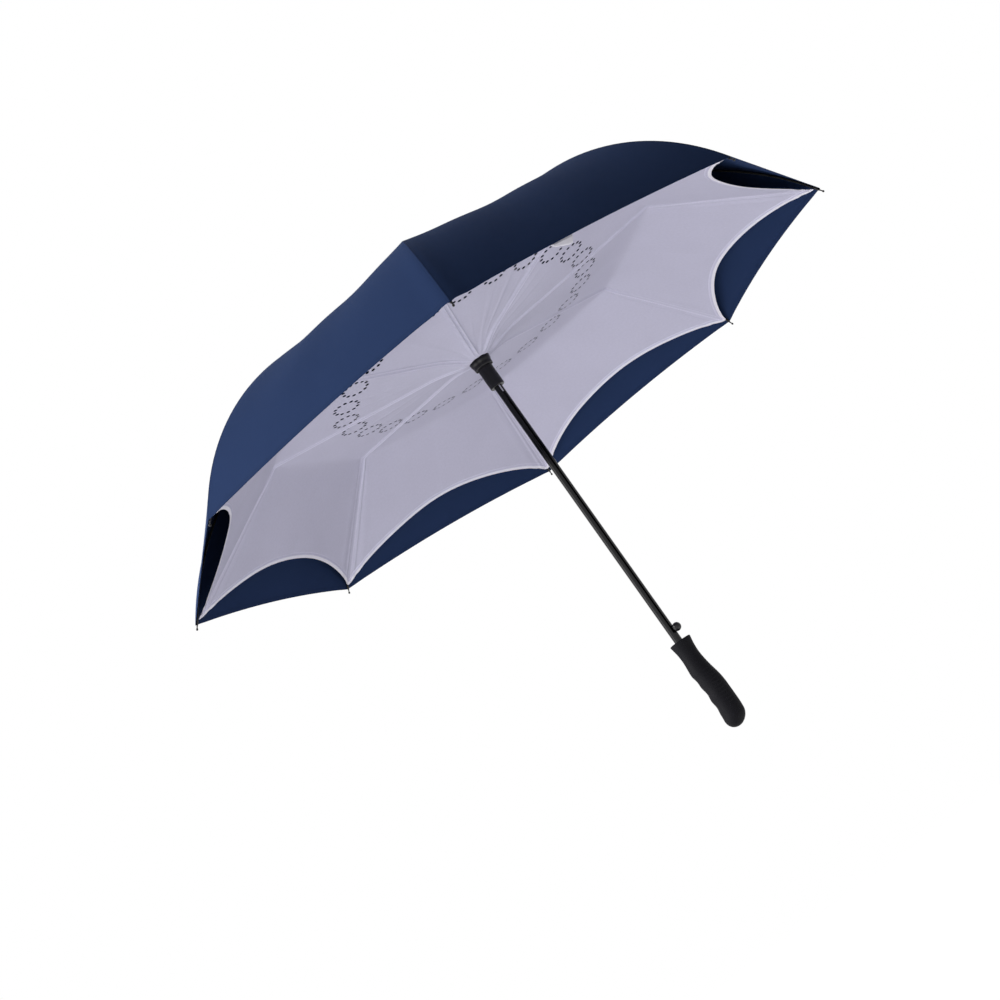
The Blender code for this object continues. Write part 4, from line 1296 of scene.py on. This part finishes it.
def make_runner_disc():
    """Flared disc that clamps the white cloth, with its two knobs."""
    bm = bmesh.new()
    foot = DISC_BOTTOM
    bore = SLEEVE_RADIUS + GAP
    outline = [(radius, foot + rise) for radius, rise in DISC_OUTLINE]
    turned(bm, rounded([(bore, foot), *outline, (bore, DISC_TOP)], DISC_ROUNDING))
    knob = [(radius, foot + rise) for radius, rise in KNOB_OUTLINE]
    for side in (-1, 1):
        turned(bm, knob, KNOB_SIDES, False, Matrix.Translation((side * KNOB_PLACE, 0, 0)))
    piece_from("runner_disc_flare", bm, "black_plastic", "runner", ("runner_disc",))


make_runner_disc()


# Push button above the grip
GRIP_TOP = 0.0685
GRIP_LENGTH = 0.136
BUTTON_ABOVE_GRIP = 0.0178
BUTTON_AZIMUTH = math.radians(150)
BUTTON_RADIUS = 0.0062
BUTTON_CENTRE = 0.0106
BUTTON_FLAT = 0.0079
BUTTON_STEM = ((0.0016, 0.0060), (0.0016, BUTTON_FLAT - 0.0003), (0.0019, BUTTON_FLAT))
BUTTON_STEPS = 18
BUTTON_SIDES = 40
AT_AXIS = 0.00005


def make_button():
    """Round knob on a short stem, flat towards the tube."""
    bm = bmesh.new()
    flat_angle = math.acos((BUTTON_CENTRE - BUTTON_FLAT) / BUTTON_RADIUS)
    profile = list(BUTTON_STEM)
    for step in range(BUTTON_STEPS + 1):
        angle = flat_angle + (math.pi - flat_angle) * step / BUTTON_STEPS
        radius = max(BUTTON_RADIUS * math.sin(angle), AT_AXIS)
        profile.append((radius, BUTTON_CENTRE - BUTTON_RADIUS * math.cos(angle)))
    out = Matrix.Rotation(BUTTON_AZIMUTH, 4, "Z") @ Matrix.Rotation(math.pi / 2, 4, "Y")
    matrix = Matrix.Translation((0, 0, GRIP_TOP + BUTTON_ABOVE_GRIP)) @ out
    turned(bm, profile, BUTTON_SIDES, False, matrix)
    piece_from("button_knob", bm, "black_plastic", "button", ("button",))


make_button()

# Grip, as in the part's source, with finger waves and fine ribbing on its flanks
GRIP_RADIUS = 0.0161
GRIP_DEPTH_SHARE = 0.88
GRIP_LIP_FLARE = 0.0007
GRIP_LIP_LENGTH = 0.008
GRIP_WAIST = 0.0029
GRIP_WAIST_DROP = 0.024
GRIP_WAIST_LENGTH = 0.022
GRIP_BULB_LENGTH = 0.017
GRIP_OFFSET = 0.0014
GRIP_LEAN = 0.0039
GRIP_LEAN_DROP = 0.0925
GRIP_LEAN_LENGTH = 0.037
GRIP_LEAN_POWER = 4
GRIP_WAVE = 0.0011
GRIP_WAVE_PITCH = 0.0215
GRIP_WAVE_DROP = 0.0465
GRIP_WAVE_COUNT = 3
RIB_TOP_DROP = 0.049
RIB_PITCH = 0.0053
RIB_DEPTH = 0.0006
FLANK_RIBS = 11
FLANK_FRONT = 0.15
FLANK_BACK = -0.72
FLANK_EDGE = 0.16
GRIP_SIDES = 64
GRIP_BORE_END = 0.0175
GRIP_LIP_ROUND = 0.0004
GRIP_RIM_DROP = 0.0006
GRIP_LIP_SHARE = 0.955
GRIP_FIRST_DROP = 0.0022
GRIP_PLAIN_SHORT = 0.016
GRIP_STEPS = 118
GRIP_BULB_SHARE = 0.8
GRIP_BULB_STEPS = 14
LEAST_BULB_SHARE = 0.0002


def hump(place_along, centre, length, power=2):
    """Smooth rise that is one at its centre and dies away beyond its length."""
    return math.exp(-abs((place_along - centre) / length) ** power)


def grip_ring(height):
    """One level of the grip, with its finger side along +X."""
    radius = GRIP_RADIUS - GRIP_WAIST * hump(height, GRIP_TOP - GRIP_WAIST_DROP, GRIP_WAIST_LENGTH)
    radius += GRIP_LIP_FLARE * hump(height, GRIP_TOP, GRIP_LIP_LENGTH)
    above_end = (height - GRIP_TOP + GRIP_LENGTH) / GRIP_BULB_LENGTH
    if above_end < 1:
        radius *= math.sqrt(max(1 - (1 - above_end) ** 2, LEAST_BULB_SHARE))
    belly = hump(height, GRIP_TOP - GRIP_LEAN_DROP, GRIP_LEAN_LENGTH, GRIP_LEAN_POWER)
    lean = GRIP_OFFSET + GRIP_LEAN * belly
    waves = (GRIP_TOP - GRIP_WAVE_DROP - height) / GRIP_WAVE_PITCH
    wave = GRIP_WAVE * math.sin(math.pi * waves) ** 2 if 0 < waves < GRIP_WAVE_COUNT else 0
    ribs = (GRIP_TOP - RIB_TOP_DROP - height) / RIB_PITCH
    in_ribs = RIB_DEPTH * math.sin(math.pi * ribs) ** 2 if 0 < ribs < FLANK_RIBS else 0
    ring = []
    for point in circle(1, height, GRIP_SIDES):
        flank = ease((FLANK_FRONT - point.x) / FLANK_EDGE) * ease((point.x - FLANK_BACK) / FLANK_EDGE)
        reach = radius - wave * max(point.x, 0) ** 2 - in_ribs * flank
        ring.append(Vector((reach * point.x - lean, GRIP_DEPTH_SHARE * reach * point.y, height)))
    return ring


def make_grip():
    """Rubber grip round the tube, from its bore over the lip to the rounded end."""
    bm = bmesh.new()
    bore = SHAFT_RADIUS + GAP
    bottom = GRIP_TOP - GRIP_LENGTH
    rim = grip_ring(GRIP_TOP - GRIP_RIM_DROP)
    lip = []
    for point in rim:
        from_middle = point.x + GRIP_OFFSET
        place = from_middle * GRIP_LIP_SHARE - GRIP_OFFSET
        lip.append(Vector((place, point.y * GRIP_LIP_SHARE, GRIP_TOP)))
    bore_end = circle(bore, bottom + GRIP_BORE_END, GRIP_SIDES)
    bore_top = circle(bore, GRIP_TOP - GRIP_LIP_ROUND, GRIP_SIDES)
    rings = [bore_end, bore_top, lip, rim]
    first = GRIP_TOP - GRIP_FIRST_DROP
    heights = [first - (GRIP_LENGTH - GRIP_PLAIN_SHORT) * step / GRIP_STEPS for step in range(GRIP_STEPS + 1)]
    for step in range(GRIP_BULB_STEPS + 1):
        heights.append(bottom + GRIP_BULB_LENGTH * GRIP_BULB_SHARE * (1 - step / GRIP_BULB_STEPS) ** 2)
    rings += [grip_ring(height) for height in heights]
    skin(bm, rings)
    piece_from("grip_rubber", bm, "black_rubber", "shaft", ("grip",))


make_grip()


CAP_FOOT_OUTLINE = ((0.0155, 0.0), (0.0155, 0.0030), (0.0149, 0.0046), (0.0134, 0.0096))
CAP_SHOULDER_RADIUS = 0.0110
CAP_SHOULDER_DROP = 0.0016
CAP_FLAT_RADIUS = 0.0078
CAP_SIDES = 64


def make_crown_cap():
    """Cap over the shaft's top, which holds the navy cloth down."""
    bm = bmesh.new()
    bottom = CANOPY_TOP - CROWN_HOLE_RADIUS * math.tan(ARC_START) + GAP
    bore = SHAFT_RADIUS + GAP
    inside_top = CANOPY_TOP + SHAFT_RISE + GAP
    top = CANOPY_TOP + CAP_RISE
    profile = [(AT_AXIS, inside_top), (bore, inside_top), (bore, bottom)]
    profile += [(radius, bottom + rise) for radius, rise in CAP_FOOT_OUTLINE]
    profile += [(CAP_SHOULDER_RADIUS, top - CAP_SHOULDER_DROP), (CAP_FLAT_RADIUS, top), (AT_AXIS, top)]
    turned(bm, profile, CAP_SIDES, False)
    piece_from("crown_cap_dome", bm, "black_plastic", "shaft", ("crown_cap",))


make_crown_cap()


# Floor, lights and camera

FLOOR_GLOW = 1.42
FLOOR_GLOW_SHARE = 0.7


def stage_material():
    """Pale floor that keeps shadows and shows white behind the object."""
    finish = Finish("studio_floor", Base_Color=rgb(0.70, 0.70, 0.72), Roughness=0.9)
    facing = finish.node("ShaderNodeNewGeometry", output="Backfacing")
    clear = finish.node("ShaderNodeBsdfTransparent")
    white = finish.node("ShaderNodeEmission", inputs={"Color": rgb(1, 1, 1), "Strength": FLOOR_GLOW})
    floor = Wire(finish, finish.shader.outputs[0])
    seen = finish.node("ShaderNodeMixShader", inputs={
        0: finish.shows_white() * FLOOR_GLOW_SHARE, 1: floor, 2: white,
    })
    both = finish.node("ShaderNodeMixShader", inputs={0: facing, 1: seen, 2: clear})
    finish.feed(finish.tree.nodes["Material Output"].inputs["Surface"], both)
    return finish.material


FLOOR_HEIGHT = -1.6
FLOOR_HALF = 14.0


def make_stage():
    """Wide floor far below the umbrella."""
    bm = bmesh.new()
    corners = [(-1, -1), (1, -1), (1, 1), (-1, 1)]
    bm.faces.new([bm.verts.new((x * FLOOR_HALF, y * FLOOR_HALF, FLOOR_HEIGHT)) for x, y in corners])
    mesh = bpy.data.meshes.new("studio_floor")
    bm.to_mesh(mesh)
    bm.free()
    mesh.materials.append(stage_material())
    floor = bpy.data.objects.new("studio_floor", mesh)
    bpy.context.collection.objects.link(floor)


SKY_COLOUR = rgb(0.96, 0.97, 1.0)
WORLD_STRENGTH = 0.09
LAMP_AIM = Vector((0, 0, 0.5))
# Each lamp's name, direction from there, distance, power and size
LAMPS = (
    ("key", (0.85, 0.30, 0.45), 3.0, 84.0, 1.3),
    ("side", (0.93, 0.30, -0.02), 3.0, 45.5, 3.0),
    ("low", (0.80, 0.20, -0.55), 2.2, 7.8, 1.2),
    ("fill", (-0.45, 0.30, -0.84), 1.7, 5.6, 1.0),
    ("front", (0.10, 0.95, -0.30), 3.2, 13.8, 1.6),
)


def make_world():
    """Soft light all round, with white where the camera looks."""
    world = bpy.data.worlds.new("studio")
    bpy.context.scene.world = world
    world.use_nodes = True
    sky = Nodes(world.node_tree)
    soft = sky.node("ShaderNodeBackground", inputs={"Color": SKY_COLOUR, "Strength": WORLD_STRENGTH})
    white = sky.node("ShaderNodeBackground", inputs={"Color": rgb(1, 1, 1)})
    shown = sky.node("ShaderNodeMixShader", inputs={0: sky.shows_white(), 1: soft, 2: white})
    sky.feed(sky.tree.nodes["World Output"].inputs["Surface"], shown)


def area_light(name, direction, distance, power, size):
    """Round lamp that faces the canopy from a direction."""
    data = bpy.data.lights.new(name, "AREA")
    data.energy = power
    data.shape = "DISK"
    data.size = size
    light = bpy.data.objects.new(name, data)
    bpy.context.collection.objects.link(light)
    light.location = LAMP_AIM + direction * distance
    light.rotation_mode = "QUATERNION"
    light.rotation_quaternion = (-direction).to_track_quat("-Z", "Y")


def make_camera():
    """Camera that sees the umbrella as in the picture."""
    data = bpy.data.cameras.new("camera")
    data.lens = CAMERA_LENS
    data.sensor_width = CAMERA_SENSOR
    data.shift_x, data.shift_y = CAMERA_SHIFT
    camera = bpy.data.objects.new("camera", data)
    bpy.context.collection.objects.link(camera)
    forward = CAMERA_FORWARD.normalized()
    right = forward.cross(CAMERA_UP).normalized()
    up = right.cross(forward)
    camera.rotation_mode = "QUATERNION"
    camera.rotation_quaternion = Matrix((right, up, -forward)).transposed().to_quaternion()
    camera.location = CAMERA_PLACE
    bpy.context.scene.camera = camera


make_stage()
make_world()
for lamp, towards, distance, power, size in LAMPS:
    area_light(lamp, Vector(towards).normalized(), distance, power, size)
make_camera()
bpy.context.scene.view_settings.view_transform = "Standard"
